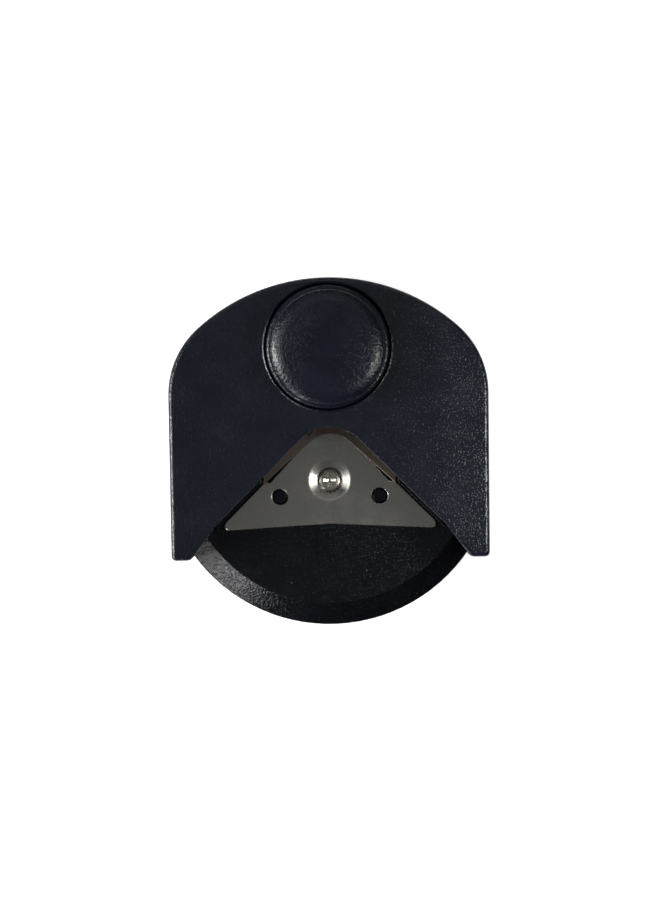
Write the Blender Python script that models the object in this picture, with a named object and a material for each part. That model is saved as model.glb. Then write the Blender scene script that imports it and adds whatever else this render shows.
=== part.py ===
"""Corner rounder punch: rounds the corners of paper and card.

The paper corner slides over the die plate into the V notch, under the lips of the stripper plate.
Pressing the button drives a steel blade with a hollow edge past the rounded tip of the die plate.
The cut corner falls through a chute into a tray that pulls off downwards.
Lengths are in metres. +X is right, +Y is the back, +Z is up, and the origin is under the middle.
"""

import math

import bmesh
import bpy

# Overall size
BODY_WIDTH = 0.0538
BODY_LENGTH = 0.0584
BUTTON_RISE = 0.0058

# Clearances: between touching pieces, between stacked steel plates, between sliding pieces
GAP = 0.0003
PLATE_GAP = 0.00015
SLIDE_GAP = 0.00015
OVERRUN = 0.002
MERGE_DISTANCE = 0.0000003

# Cover outline, seen from above
TOP_ARC_RADIUS = 0.03285
SHOULDER_RADIUS = 0.0149
SIDE_TAPER = 0.00017
EAR_ROOT_INSET = 0.0075
EAR_TIP_INSET = 0.0034
EAR_REACH = 0.0056
EAR_OUTER_RADIUS = 0.0008
EAR_INNER_RADIUS = 0.0012
LEAST_RADIUS = 0.0002
NOTCH_APEX_RADIUS = 0.0070
NOTCH_APEX_WALL = 0.0028
NOTCH_DRAFT = 0.0005
NOTCH_ROOM = 0.0032

# Cover shell
COVER_WALL = 0.0016
ROOF_THICKNESS = 0.0020
COVER_EDGE_RADIUS = 0.0007
SLEEVE_DEPTH = 0.00135

# Base
BASE_INSET = 0.00045
BASE_WALL = 0.0022
TABLE_HEIGHT = 0.0104
DECK_THICKNESS = 0.0020
SEAM_DROP = 0.0024
FRONT_BULGE = 0.0018
RIM_WIDTH = 0.00355
RIM_DROP = 0.0022
FRONT_LAP = 0.0010
PEG_X = 0.00842
PEG_BEFORE_STOP = 0.01383
PEG_RADIUS = 0.00112
PEG_SUNK = 0.00015
FENCE_BAND = 0.0024
FENCE_END_GAP = 0.0002

# Cutting geometry: the V of the paper stop, and the corner radius that is cut
STOP_SETBACK = 0.0007
CORNER_RADIUS = 0.0040
CUT_GAP = 0.00010
SLOT_HEIGHT = 0.0013
TIP_RETRACT = 0.0002
OVERTRAVEL = 0.0013

# Die plate
DIE_THICKNESS = 0.0007
DIE_EDGE_GAP = 0.00025
DIE_WAIST_GAP = 0.00135
DIE_WAIST_INSET = 0.00115
DIE_STEP_WIDTH = 0.0009
DIE_NECK_X = 0.0052
DIE_NECK_GAP = 0.0009
DIE_LENGTH = 0.0185
DIE_FRONT_SLOPE_SHARE = 0.0512
DIE_TIP_RADIUS = 0.0008
DIE_STEP_RADIUS = 0.0004
PEG_HOLE_RADIUS = 0.00133
DIMPLE_BEFORE_STOP = 0.0111
DIMPLE_RADIUS = 0.0034
DIMPLE_FLOOR_RADIUS = 0.00222
DIMPLE_DEPTH = 0.00075

# Die screw
SCREW_HEAD_RADIUS = 0.00193
SCREW_HEAD_EDGE = 0.00035
SCREW_HEAD_CROWN = 0.00025
SCREW_SHANK_RADIUS = 0.0011
SCREW_LENGTH = 0.0036
SCREW_FACE_RADIUS = 0.00106
SCREW_FACE_DROP = 0.00007
CROSS_LENGTH = 0.0024
CROSS_WIDTH = 0.00045
CROSS_DEPTH = 0.00035

# Stripper and spacer plates
STRIPPER_THICKNESS = 0.0008
LIP_APEX_WIDTH = 0.0013
LIP_END_WIDTH = 0.0006
LIP_APEX_RADIUS = 0.0048
PLATE_HALF_WIDTH = 0.0112
PLATE_BEHIND_STOP = 0.0058
PLATE_CORNER_RADIUS = 0.0015
GUIDE_SCREW_INSET = 0.0032
GUIDE_SCREW_BEHIND_STOP = 0.0003
GUIDE_HEAD_RADIUS = 0.0018
GUIDE_HEAD_HEIGHT = 0.0011
HEAD_ROUNDING = 0.0005
BOSS_DROP = 0.0022
BOSS_WALL = 0.0010

# Blade and chute
BLADE_HALF_WIDTH = 0.0034
BLADE_BEHIND_STOP = 0.0028
BLADE_SEAT_DEPTH = 0.0030
CHUTE_MARGIN = 0.0004

# Punch carrier
CARRIER_THICKNESS = 0.0034
CARRIER_BEFORE_STOP = 0.0002
CHEEK_THICKNESS = 0.0018
CARRIER_DISC_INSET = 0.0002
CARRIER_ARM_REACH = 0.0028
CARRIER_ARM_HALF = 0.0034
CARRIER_ARM_RADIUS = 0.0030
PIN_RADIUS = 0.00075
PIN_BEHIND_STOP = 0.0015

# Button
BUTTON_BACK_WALL = 0.0010
BUTTON_RADIUS = 0.0096
BUTTON_FLANGE_WIDTH = 0.00075
BUTTON_FLANGE_RISE = 0.0008
BUTTON_FLANGE_EDGE = 0.0002
BUTTON_SHOULDER = 0.0016
BUTTON_CROWN = 0.0006
BUTTON_WALL = 0.0015
BUTTON_BOSS_RADIUS = 0.0030
WELL_GAP = 0.00035
WELL_CHAMFER = 0.00035
SLEEVE_WALL = 0.0008

# Button screw
BUTTON_SCREW_HEAD_RADIUS = 0.0021
BUTTON_SCREW_HEAD_HEIGHT = 0.0013
BUTTON_SCREW_RADIUS = 0.0011
BUTTON_SCREW_LENGTH = 0.0075
POCKET_GAP = 0.0003

# Guide pins and return springs
GUIDE_PIN_FROM_WELL = 0.0035
GUIDE_PIN_RADIUS = 0.00125
PIN_SOCKET_DEPTH = 0.0014
PIN_SOCKET_WALL = 0.0011
SPRING_RADIUS = 0.0023
SPRING_WIRE_RADIUS = 0.0003
SPRING_TURNS = 4

# Housing screws, from below
HOUSING_FRONT_INSET = 0.0064
HOUSING_FRONT_BEFORE_BUTTON = 0.0188
HOUSING_BACK_X = 0.0170
HOUSING_BACK_BEFORE_BUTTON = 0.0075
HOUSING_HEAD_RADIUS = 0.0020
HOUSING_HEAD_HEIGHT = 0.0015
HOUSING_SCREW_RADIUS = 0.0011
HOUSING_SCREW_LENGTH = 0.0085
HOUSING_BOSS_RADIUS = 0.0024

# Chip tray
TRAY_LIFT = 0.0004
TRAY_FLOOR = 0.0012
TRAY_WALL = 0.0012
TRAY_HEADROOM = 0.0022
TAB_HALF_WIDTH = 0.0055
TAB_SHORT = 0.0006
TAB_HEADROOM = 0.0010

# Steps of the round forms
ARC_STEPS = 18
SMALL_STEPS = 3
ROUND_STEPS = 40
SCREW_STEPS = 16
SPRING_TURN_STEPS = 12
SMOOTH_ANGLE = math.radians(35)

# Heights that follow from the sizes above
SEAM_HEIGHT = TABLE_HEIGHT - SEAM_DROP
DIE_LOW = TABLE_HEIGHT + PLATE_GAP
DIE_HIGH = DIE_LOW + DIE_THICKNESS
STRIPPER_LOW = DIE_HIGH + SLOT_HEIGHT
STRIPPER_HIGH = STRIPPER_LOW + STRIPPER_THICKNESS
SPACER_HIGH = STRIPPER_LOW - PLATE_GAP
DECK_LOW = TABLE_HEIGHT - DECK_THICKNESS
PUNCH_TRAVEL = SLOT_HEIGHT + DIE_THICKNESS + TIP_RETRACT + OVERTRAVEL
BLADE_LOW = STRIPPER_LOW + TIP_RETRACT
CARRIER_LOW = STRIPPER_HIGH + PUNCH_TRAVEL + GAP
CARRIER_HIGH = CARRIER_LOW + CARRIER_THICKNESS
SLEEVE_LOW = CARRIER_HIGH + GAP
ROOF_LOW = SLEEVE_LOW + SLEEVE_DEPTH
COVER_TOP = ROOF_LOW + ROOF_THICKNESS
BUTTON_TOP = COVER_TOP + BUTTON_RISE
BOSS_LOW = DECK_LOW - BOSS_DROP
TRAY_RIM = DECK_LOW - TRAY_HEADROOM

# Places that follow: the button from the back, the V notch from the button, the rest from the V
DIAGONAL = math.sqrt(2)
SIDE_X = BODY_WIDTH / 2
BACK_Y = BODY_LENGTH / 2
FRONT_RADIUS = SIDE_X - BASE_INSET + FRONT_BULGE
TABLE_RADIUS = FRONT_RADIUS - RIM_WIDTH
FRONT_CENTRE_Y = FRONT_RADIUS - BODY_LENGTH / 2
ARCH_CENTRE_Y = BACK_Y - TOP_ARC_RADIUS
SHOULDER_X = SIDE_X - SHOULDER_RADIUS
SHOULDER_RISE = math.sqrt((TOP_ARC_RADIUS - SHOULDER_RADIUS) ** 2 - SHOULDER_X**2)
SHOULDER_Y = ARCH_CENTRE_Y + SHOULDER_RISE
BUTTON_FLANGE_RADIUS = BUTTON_RADIUS + BUTTON_FLANGE_WIDTH
WELL_RADIUS = BUTTON_FLANGE_RADIUS + WELL_GAP
BUTTON_Y = BACK_Y - BUTTON_BACK_WALL - WELL_RADIUS
NOTCH_APEX_Y = BUTTON_Y - WELL_RADIUS - NOTCH_APEX_WALL
NOTCH_REACH = NOTCH_APEX_Y + NOTCH_APEX_RADIUS * (DIAGONAL - 1)
NOTCH_END_X = SIDE_X - EAR_ROOT_INSET
NOTCH_END_Y = NOTCH_REACH - NOTCH_END_X
EAR_TIP_X = SIDE_X - EAR_TIP_INSET
EAR_FRONT_Y = NOTCH_END_Y - EAR_REACH
FRONT_JOIN_Y = NOTCH_END_Y + FRONT_LAP
FENCE_END_X = NOTCH_END_X - FENCE_END_GAP
STOP_REACH = NOTCH_REACH - STOP_SETBACK
PEG_Y = STOP_REACH - PEG_BEFORE_STOP
DIMPLE_Y = STOP_REACH - DIMPLE_BEFORE_STOP
PLATE_BACK_Y = STOP_REACH + PLATE_BEHIND_STOP
GUIDE_SCREW_X = PLATE_HALF_WIDTH - GUIDE_SCREW_INSET
GUIDE_SCREW_Y = STOP_REACH + GUIDE_SCREW_BEHIND_STOP
BLADE_BACK_Y = STOP_REACH + BLADE_BEHIND_STOP
CARRIER_FRONT_Y = STOP_REACH - CARRIER_BEFORE_STOP
PIN_Y = STOP_REACH + PIN_BEHIND_STOP
NOSE_HALF = BLADE_HALF_WIDTH + GAP + CHEEK_THICKNESS
GUIDE_PIN_X = WELL_RADIUS + GUIDE_PIN_FROM_WELL
CARRIER_ARM_X = GUIDE_PIN_X + CARRIER_ARM_REACH


# Outlines: lists of (x, y), counter-clockwise


def arc(centre, radius, start, end, steps):
    """Points from angle start to angle end, both included, in degrees."""
    points = []
    for step in range(steps + 1):
        angle = math.radians(start + (end - start) * step / steps)
        points.append((centre[0] + radius * math.cos(angle), centre[1] + radius * math.sin(angle)))
    return points


def mirrored(right_half):
    """A closed outline from its right half. Points on the middle line aren't doubled."""
    left_half = [(-x, y) for x, y in reversed(right_half) if x > MERGE_DISTANCE]
    return right_half + left_half


def shifted(start, end, distance):
    """The line from start to end, moved to its left by a distance."""
    length = math.hypot(end[0] - start[0], end[1] - start[1])
    aside = (-(end[1] - start[1]) / length, (end[0] - start[0]) / length)
    return [(x + aside[0] * distance, y + aside[1] * distance) for x, y in (start, end)]


def crossing(first, second):
    """The point where two lines meet."""
    (ax, ay), (bx, by) = first
    (cx, cy), (dx, dy) = second
    along = ((cx - ax) * (dy - cy) - (cy - ay) * (dx - cx)) / (
        (bx - ax) * (dy - cy) - (by - ay) * (dx - cx)
    )
    return (ax + along * (bx - ax), ay + along * (by - ay))


def rounded(before, corner, after, radius):
    """The points of a round corner between two straight edges."""
    into = math.atan2(before[1] - corner[1], before[0] - corner[0])
    out = math.atan2(after[1] - corner[1], after[0] - corner[0])
    turn = (out - into + math.pi) % (2 * math.pi) - math.pi
    half = abs(turn) / 2
    reach = radius / math.sin(half)
    middle = into + turn / 2
    centre = (corner[0] + reach * math.cos(middle), corner[1] + reach * math.sin(middle))
    side = math.copysign(1, turn)
    start = math.degrees(into - side * math.pi / 2)
    sweep = math.degrees(math.pi - abs(turn))
    return arc(centre, radius, start, start - side * sweep, SMALL_STEPS)


def arch(inset):
    """The right shoulder and the right half of the back arc, up to the back middle."""
    join = math.degrees(math.atan2(SHOULDER_RISE, SHOULDER_X))
    shoulder = arc((SHOULDER_X, SHOULDER_Y), SHOULDER_RADIUS - inset, 0, join, ARC_STEPS // 2)
    back = arc((0, ARCH_CENTRE_Y), TOP_ARC_RADIUS - inset, join, 90, ARC_STEPS)
    return shoulder + back[1:]


def cover_outline(inset, notch_inset):
    """The cover from above, drawn in by inset, with the V notch opened by notch_inset."""
    reach = NOTCH_REACH + notch_inset * DIAGONAL
    apex_radius = NOTCH_APEX_RADIUS + notch_inset
    apex_y = reach - apex_radius * DIAGONAL
    notch_end = (NOTCH_END_X, NOTCH_END_Y)
    ear_tip = (EAR_TIP_X, EAR_FRONT_Y)
    ear_corner = (SIDE_X - SIDE_TAPER, EAR_FRONT_Y)
    shoulder = (SIDE_X, SHOULDER_Y)
    notch_side = [(0, reach), (reach, 0)]
    ear_inner = shifted(notch_end, ear_tip, inset)
    ear_front = shifted(ear_tip, ear_corner, inset)
    side = shifted(ear_corner, shoulder, inset)
    end = crossing(notch_side, ear_inner)
    tip = crossing(ear_inner, ear_front)
    corner = crossing(ear_front, side)
    points = arc((0, apex_y), apex_radius, 90, 45, ARC_STEPS // 2)
    points.append(end)
    points += rounded(end, tip, corner, max(EAR_INNER_RADIUS - inset, LEAST_RADIUS))
    points += rounded(tip, corner, (SIDE_X - inset, SHOULDER_Y), max(EAR_OUTER_RADIUS - inset, LEAST_RADIUS))
    points += arch(inset)
    return mirrored(points)


def base_outline(inset):
    """The base from above: a round front, then the cover's sides and arch drawn in a little."""
    side_x = SIDE_X - BASE_INSET - inset
    radius = FRONT_RADIUS - inset
    meet = -math.degrees(math.acos(side_x / radius))
    points = arc((0, FRONT_CENTRE_Y), radius, -90, meet, ARC_STEPS)
    points += arch(BASE_INSET + inset)
    return mirrored(points)


def deck_outline(inset):
    """The raised deck inside the cover's walls, from behind the ears to the back."""
    front_y = FRONT_JOIN_Y - FRONT_LAP
    points = [(0, front_y), (SIDE_X - SIDE_TAPER - inset, front_y)]
    points += arch(inset)
    return mirrored(points)


def front_outline(radius, join_y):
    """The part of the round front that lies before a straight line across."""
    end = math.degrees(math.asin((join_y - FRONT_CENTRE_Y) / radius))
    return mirrored(arc((0, FRONT_CENTRE_Y), radius, -90, end, ARC_STEPS))


def rounded_box(half_width, front, back, radius, centre_x=0):
    """A rectangle with round corners."""
    low, high = centre_x - half_width, centre_x + half_width
    points = arc((high - radius, front + radius), radius, -90, 0, SMALL_STEPS)
    points += arc((high - radius, back - radius), radius, 0, 90, SMALL_STEPS)
    points += arc((low + radius, back - radius), radius, 90, 180, SMALL_STEPS)
    points += arc((low + radius, front + radius), radius, 180, 270, SMALL_STEPS)
    return points


# Making solids


def material(name, colour, roughness, metallic):
    made = bpy.data.materials.new(name)
    made.use_nodes = True
    shader = made.node_tree.nodes["Principled BSDF"]
    shader.inputs["Base Color"].default_value = (*colour, 1)
    shader.inputs["Roughness"].default_value = roughness
    shader.inputs["Metallic"].default_value = metallic
    made.diffuse_color = (*colour, 1)
    return made


def black_plastic(name):
    return material(name, (0.013, 0.015, 0.021), 0.42, 0)


def grey_steel(name):
    return material(name, (0.30, 0.30, 0.28), 0.38, 1)


def bright_steel(name):
    return material(name, (0.62, 0.61, 0.58), 0.25, 1)


def finish(name, shape, look=None):
    """Turns a bmesh into an object, shaded smooth across shallow angles."""
    bmesh.ops.recalc_face_normals(shape, faces=shape.faces)
    mesh = bpy.data.meshes.new(name)
    shape.to_mesh(mesh)
    shape.free()
    mesh.shade_smooth()
    mesh.set_sharp_from_angle(angle=SMOOTH_ANGLE)
    made = bpy.data.objects.new(name, mesh)
    bpy.context.scene.collection.objects.link(made)
    if look:
        mesh.materials.append(look)
    else:
        made.hide_render = True
        made.display_type = "WIRE"
    return made


def stacked(levels):
    """A closed solid through outlines at rising heights: levels is a list of (outline, height)."""
    shape = bmesh.new()
    loops = []
    for outline, height in levels:
        corners = [shape.verts.new((x, y, height)) for x, y in outline]
        edges = [shape.edges.new((a, b)) for a, b in zip(corners, corners[1:] + corners[:1])]
        loops.append((corners, edges))
    for (_, lower), (_, upper) in zip(loops, loops[1:]):
        bmesh.ops.bridge_loops(shape, edges=lower + upper)
    shape.faces.new(loops[0][0])
    shape.faces.new(loops[-1][0])
    return shape


def prism(outline, low, high):
    return stacked([(outline, low), (outline, high)])


def turned(profile, centre, steps=ROUND_STEPS):
    """A profile of (radius, height) points, turned about an upright axis through centre."""
    shape = bmesh.new()
    corners = [shape.verts.new((centre[0] + r, centre[1], z)) for r, z in profile]
    edges = [shape.edges.new(pair) for pair in zip(corners, corners[1:])]
    bmesh.ops.spin(
        shape,
        geom=corners + edges,
        cent=(centre[0], centre[1], 0),
        axis=(0, 0, 1),
        angle=2 * math.pi,
        steps=steps,
        use_merge=True,
    )
    bmesh.ops.remove_doubles(shape, verts=shape.verts, dist=MERGE_DISTANCE)
    return shape


def rod(radius, low, high, centre, steps=SCREW_STEPS):
    """An upright cylinder."""
    return prism(arc(centre, radius, 0, 360, steps)[:-1], low, high)


def combine(target, operation, shapes):
    """Adds a Boolean modifier to target for each shape, which becomes a hidden helper."""
    for shape in shapes:
        helper = finish(f"{target.name}_cutter_{len(target.modifiers) + 1}", shape)
        change = target.modifiers.new(helper.name, "BOOLEAN")
        change.operation = operation
        change.solver = "EXACT"
        change.object = helper


def move_origin(made, origin):
    """Puts a moving piece's origin on its joint's axis, with its shape left in place."""
    for corner in made.data.vertices:
        corner.co = (corner.co.x - origin[0], corner.co.y - origin[1], corner.co.z - origin[2])
    made.location = origin


def screw(name, centre, head_radius, head_height, shank_radius, length, seat, upward, look):
    """A pan-head screw. Its head rests on height seat and its shank points up or down."""
    way = 1 if upward else -1
    head_end = seat - way * head_height
    tip = seat + way * length
    profile = [
        (0, head_end),
        (head_radius - HEAD_ROUNDING, head_end),
        (head_radius, head_end + way * HEAD_ROUNDING),
        (head_radius, seat),
        (shank_radius, seat),
        (shank_radius, tip - way * shank_radius),
        (0, tip),
    ]
    made = finish(name, turned(profile, centre, SCREW_STEPS), look)
    low, high = sorted((head_end - way * OVERRUN, head_end + way * CROSS_DEPTH))
    combine(made, "DIFFERENCE", [cross(centre, low, high)])
    return made


def cross(centre, low, high):
    """The cutter of a cross-shaped driver recess."""
    reach, half = CROSS_LENGTH / 2, CROSS_WIDTH / 2
    arm = [(reach, -half), (reach, half), (half, half)]
    outline = []
    for quarter in range(4):
        angle = quarter * math.pi / 2
        for x, y in arm:
            turned_x = x * math.cos(angle) - y * math.sin(angle)
            turned_y = x * math.sin(angle) + y * math.cos(angle)
            outline.append((centre[0] + turned_x, centre[1] + turned_y))
    return prism(outline, low, high)


def housing_places():
    """Name, x and y of each housing screw."""
    places = []
    for end, x, y in (
        ("front", SIDE_X - HOUSING_FRONT_INSET, BUTTON_Y - HOUSING_FRONT_BEFORE_BUTTON),
        ("back", HOUSING_BACK_X, BUTTON_Y - HOUSING_BACK_BEFORE_BUTTON),
    ):
        places.append((f"{end}_left", -x, y))
        places.append((f"{end}_right", x, y))
    return places


# The pieces


def make_base():
    made = finish(
        "base_shell",
        prism(base_outline(0), 0, SEAM_HEIGHT),
        black_plastic("base plastic"),
    )
    deck = prism(deck_outline(COVER_WALL + GAP), SEAM_HEIGHT - GAP, TABLE_HEIGHT)
    rim_high = TABLE_HEIGHT - RIM_DROP
    front = stacked(
        [
            (front_outline(FRONT_RADIUS, FRONT_JOIN_Y), SEAM_HEIGHT - GAP),
            (front_outline(FRONT_RADIUS, FRONT_JOIN_Y), rim_high),
            (front_outline(TABLE_RADIUS, FRONT_JOIN_Y), TABLE_HEIGHT),
        ]
    )
    bosses = [rod(DIMPLE_FLOOR_RADIUS + BOSS_WALL, BOSS_LOW, TABLE_HEIGHT - GAP, (0, DIMPLE_Y))]
    for side in (-1, 1):
        spot = (side * GUIDE_SCREW_X, GUIDE_SCREW_Y)
        bosses.append(rod(SCREW_SHANK_RADIUS + BOSS_WALL, BOSS_LOW, TABLE_HEIGHT - GAP, spot))
    pegs = []
    for side in (-1, 1):
        pegs.append(rod(PEG_RADIUS, TABLE_HEIGHT - GAP, DIE_HIGH - PEG_SUNK, (side * PEG_X, PEG_Y)))
    hollow = prism(base_outline(BASE_WALL), -OVERRUN, DECK_LOW)
    combine(made, "UNION", [deck, front])
    combine(made, "DIFFERENCE", [hollow])
    combine(made, "UNION", bosses + pegs + [fence(-1), fence(1)])
    combine(made, "DIFFERENCE", base_holes())
    return made


def fence(side):
    """The raised paper stop beside each wing of the die plate."""
    start_x = PLATE_HALF_WIDTH + GAP
    outer = STOP_REACH + FENCE_BAND * DIAGONAL
    outline = [
        (start_x, STOP_REACH - start_x),
        (FENCE_END_X, STOP_REACH - FENCE_END_X),
        (FENCE_END_X, outer - FENCE_END_X),
        (start_x, outer - start_x),
    ]
    outline = [(side * x, y) for x, y in outline]
    return prism(outline, TABLE_HEIGHT - GAP, STRIPPER_HIGH)


def base_holes():
    """Dimple recess, screw holes, chip chute, pin sockets and the opening for the tray's tab."""
    recess_low = DIE_LOW - DIMPLE_DEPTH - GAP
    recess = turned(
        [
            (0, recess_low),
            (DIMPLE_FLOOR_RADIUS + GAP, recess_low),
            (DIMPLE_RADIUS + GAP * 2, TABLE_HEIGHT),
            (DIMPLE_RADIUS + GAP * 2, TABLE_HEIGHT + OVERRUN),
            (0, TABLE_HEIGHT + OVERRUN),
        ],
        (0, DIMPLE_Y),
    )
    screw_bore = SCREW_SHANK_RADIUS + SLIDE_GAP
    holes = [recess, rod(screw_bore, BOSS_LOW - OVERRUN, TABLE_HEIGHT, (0, DIMPLE_Y))]
    for side in (-1, 1):
        spot = (side * GUIDE_SCREW_X, GUIDE_SCREW_Y)
        holes.append(rod(screw_bore, BOSS_LOW - OVERRUN, TABLE_HEIGHT + OVERRUN, spot))
        socket = (side * GUIDE_PIN_X, BUTTON_Y)
        socket_low = TABLE_HEIGHT - PIN_SOCKET_DEPTH
        holes.append(rod(GUIDE_PIN_RADIUS + SLIDE_GAP, socket_low, TABLE_HEIGHT + OVERRUN, socket))
    for _, x, y in housing_places():
        holes.append(rod(HOUSING_SCREW_RADIUS + SLIDE_GAP, 0, TABLE_HEIGHT + OVERRUN, (x, y)))
    chute_front = STOP_REACH - BLADE_HALF_WIDTH - CHUTE_MARGIN
    chute = rounded_box(
        BLADE_HALF_WIDTH + CHUTE_MARGIN, chute_front, BLADE_BACK_Y + CHUTE_MARGIN, CHUTE_MARGIN
    )
    holes.append(prism(chute, DECK_LOW - OVERRUN, TABLE_HEIGHT + OVERRUN))
    tab_way = rounded_box(
        TAB_HALF_WIDTH + GAP, BACK_Y - BASE_WALL - OVERRUN, BACK_Y + OVERRUN, BASE_INSET
    )
    holes.append(prism(tab_way, -OVERRUN, TRAY_LIFT + TRAY_FLOOR + TAB_HEADROOM))
    return holes


def make_cover():
    edge = COVER_EDGE_RADIUS
    levels = [(cover_outline(0, -NOTCH_DRAFT), SEAM_HEIGHT + GAP)]
    for step in range(SMALL_STEPS + 1):
        angle = math.pi / 2 * step / SMALL_STEPS
        inset = edge * (1 - math.cos(angle))
        levels.append((cover_outline(inset, inset), COVER_TOP - edge + edge * math.sin(angle)))
    made = finish("top_cover", stacked(levels), black_plastic("cover plastic"))
    hollow = prism(cover_outline(COVER_WALL, COVER_WALL), SEAM_HEIGHT - OVERRUN, ROOF_LOW)
    sleeve_radius = WELL_RADIUS + SLEEVE_WALL
    sleeve = rod(sleeve_radius, SLEEVE_LOW, ROOF_LOW + GAP, (0, BUTTON_Y), ROUND_STEPS)
    bosses = []
    for _, x, y in housing_places():
        bosses.append(rod(HOUSING_BOSS_RADIUS, TABLE_HEIGHT + GAP, ROOF_LOW + GAP, (x, y)))
    for side in (-1, 1):
        spot = (side * GUIDE_PIN_X, BUTTON_Y)
        radius = GUIDE_PIN_RADIUS + SLIDE_GAP + PIN_SOCKET_WALL
        bosses.append(rod(radius, SLEEVE_LOW, ROOF_LOW + GAP, spot))
    combine(made, "DIFFERENCE", [hollow])
    combine(made, "UNION", [sleeve] + bosses)
    combine(made, "DIFFERENCE", cover_cuts())
    return made


def cover_cuts():
    """The button's well, screw bores, room for the plates, the base, the paper and the blade."""
    well_low = SLEEVE_LOW - PUNCH_TRAVEL - GAP
    chamfer_low = COVER_TOP - WELL_CHAMFER
    well_wide = WELL_RADIUS + WELL_CHAMFER
    well = turned(
        [
            (0, well_low),
            (WELL_RADIUS, well_low),
            (WELL_RADIUS, chamfer_low),
            (well_wide, COVER_TOP),
            (well_wide, COVER_TOP + OVERRUN),
            (0, COVER_TOP + OVERRUN),
        ],
        (0, BUTTON_Y),
    )
    cuts = [well]
    bore_high = DECK_LOW - GAP + HOUSING_SCREW_LENGTH + GAP * 2
    for _, x, y in housing_places():
        cuts.append(rod(HOUSING_SCREW_RADIUS + SLIDE_GAP, TABLE_HEIGHT, bore_high, (x, y)))
    for side in (-1, 1):
        bore = GUIDE_PIN_RADIUS + SLIDE_GAP
        cuts.append(rod(bore, CARRIER_LOW, ROOF_LOW, (side * GUIDE_PIN_X, BUTTON_Y)))
    half = FENCE_END_X + GAP
    back = NOTCH_REACH + NOTCH_ROOM * DIAGONAL
    front = NOTCH_END_Y - COVER_WALL
    plates_room = mirrored([(0, front), (half, front), (half, back - half), (0, back)])
    cuts.append(prism(plates_room, SEAM_HEIGHT - OVERRUN, STRIPPER_HIGH + GAP))
    join_y = FRONT_JOIN_Y + GAP
    rim_high = TABLE_HEIGHT - RIM_DROP
    cuts.append(
        stacked(
            [
                (front_outline(FRONT_RADIUS + GAP, join_y), SEAM_HEIGHT - OVERRUN),
                (front_outline(FRONT_RADIUS + GAP, join_y), rim_high + GAP),
                (front_outline(TABLE_RADIUS + GAP, join_y), TABLE_HEIGHT + GAP),
            ]
        )
    )
    deck_room = deck_outline(COVER_WALL + GAP / 2)
    cuts.append(prism(deck_room, SEAM_HEIGHT - OVERRUN, TABLE_HEIGHT + GAP))
    far = EAR_FRONT_Y - OVERRUN
    paper = [(STOP_REACH - far, far), (0, STOP_REACH), (far - STOP_REACH, far)]
    cuts.append(prism(paper, TABLE_HEIGHT - OVERRUN, STRIPPER_LOW))
    half = BLADE_HALF_WIDTH + GAP
    blade_front = STOP_REACH - BLADE_HALF_WIDTH - GAP
    blade_room = rounded_box(half, blade_front, CARRIER_FRONT_Y + GAP, LEAST_RADIUS)
    cuts.append(prism(blade_room, SEAM_HEIGHT, ROOF_LOW))
    return cuts


def make_die_plate():
    """Stamped plate: rounded cutting tip, narrow neck, a step out to two wings, shallow V front."""
    wing_reach = STOP_REACH - DIE_EDGE_GAP * DIAGONAL
    waist_x = PLATE_HALF_WIDTH - DIE_WAIST_INSET
    step_x = waist_x + DIE_STEP_WIDTH
    step = (step_x, wing_reach - step_x)
    waist = (waist_x, STOP_REACH - DIE_WAIST_GAP - waist_x)
    front = (0, STOP_REACH - DIE_LENGTH)
    tip_x = (wing_reach - front[1]) / (1 - DIE_FRONT_SLOPE_SHARE)
    tip = (tip_x, wing_reach - tip_x)
    right = [front]
    right += rounded(front, tip, step, DIE_TIP_RADIUS)
    right += rounded(tip, step, waist, DIE_STEP_RADIUS)
    right.append(waist)
    right.append((DIE_NECK_X, STOP_REACH - DIE_NECK_GAP - DIE_NECK_X))
    right += reversed(cut_edge(0))
    made = finish("die_plate", prism(mirrored(right), DIE_LOW, DIE_HIGH), grey_steel("plate steel"))
    floor_low = DIE_LOW - DIMPLE_DEPTH
    cup = turned(
        [
            (0, floor_low),
            (DIMPLE_FLOOR_RADIUS, floor_low),
            (DIMPLE_RADIUS, DIE_LOW),
            (DIMPLE_RADIUS, DIE_HIGH - GAP),
            (0, DIE_HIGH - GAP),
        ],
        (0, DIMPLE_Y),
    )
    bowl_low = DIE_HIGH - DIMPLE_DEPTH
    bowl = turned(
        [
            (0, bowl_low),
            (DIMPLE_FLOOR_RADIUS, bowl_low),
            (DIMPLE_RADIUS, DIE_HIGH),
            (DIMPLE_RADIUS, DIE_HIGH + OVERRUN),
            (0, DIE_HIGH + OVERRUN),
        ],
        (0, DIMPLE_Y),
    )
    holes = [bowl]
    screw_hole = SCREW_SHANK_RADIUS + SLIDE_GAP
    holes.append(rod(screw_hole, floor_low - OVERRUN, DIE_HIGH + OVERRUN, (0, DIMPLE_Y)))
    for side in (-1, 1):
        spot = (side * PEG_X, PEG_Y)
        holes.append(rod(PEG_HOLE_RADIUS, DIE_LOW - OVERRUN, DIE_HIGH + OVERRUN, spot))
    combine(made, "UNION", [cup])
    combine(made, "DIFFERENCE", holes)
    return made


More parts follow.
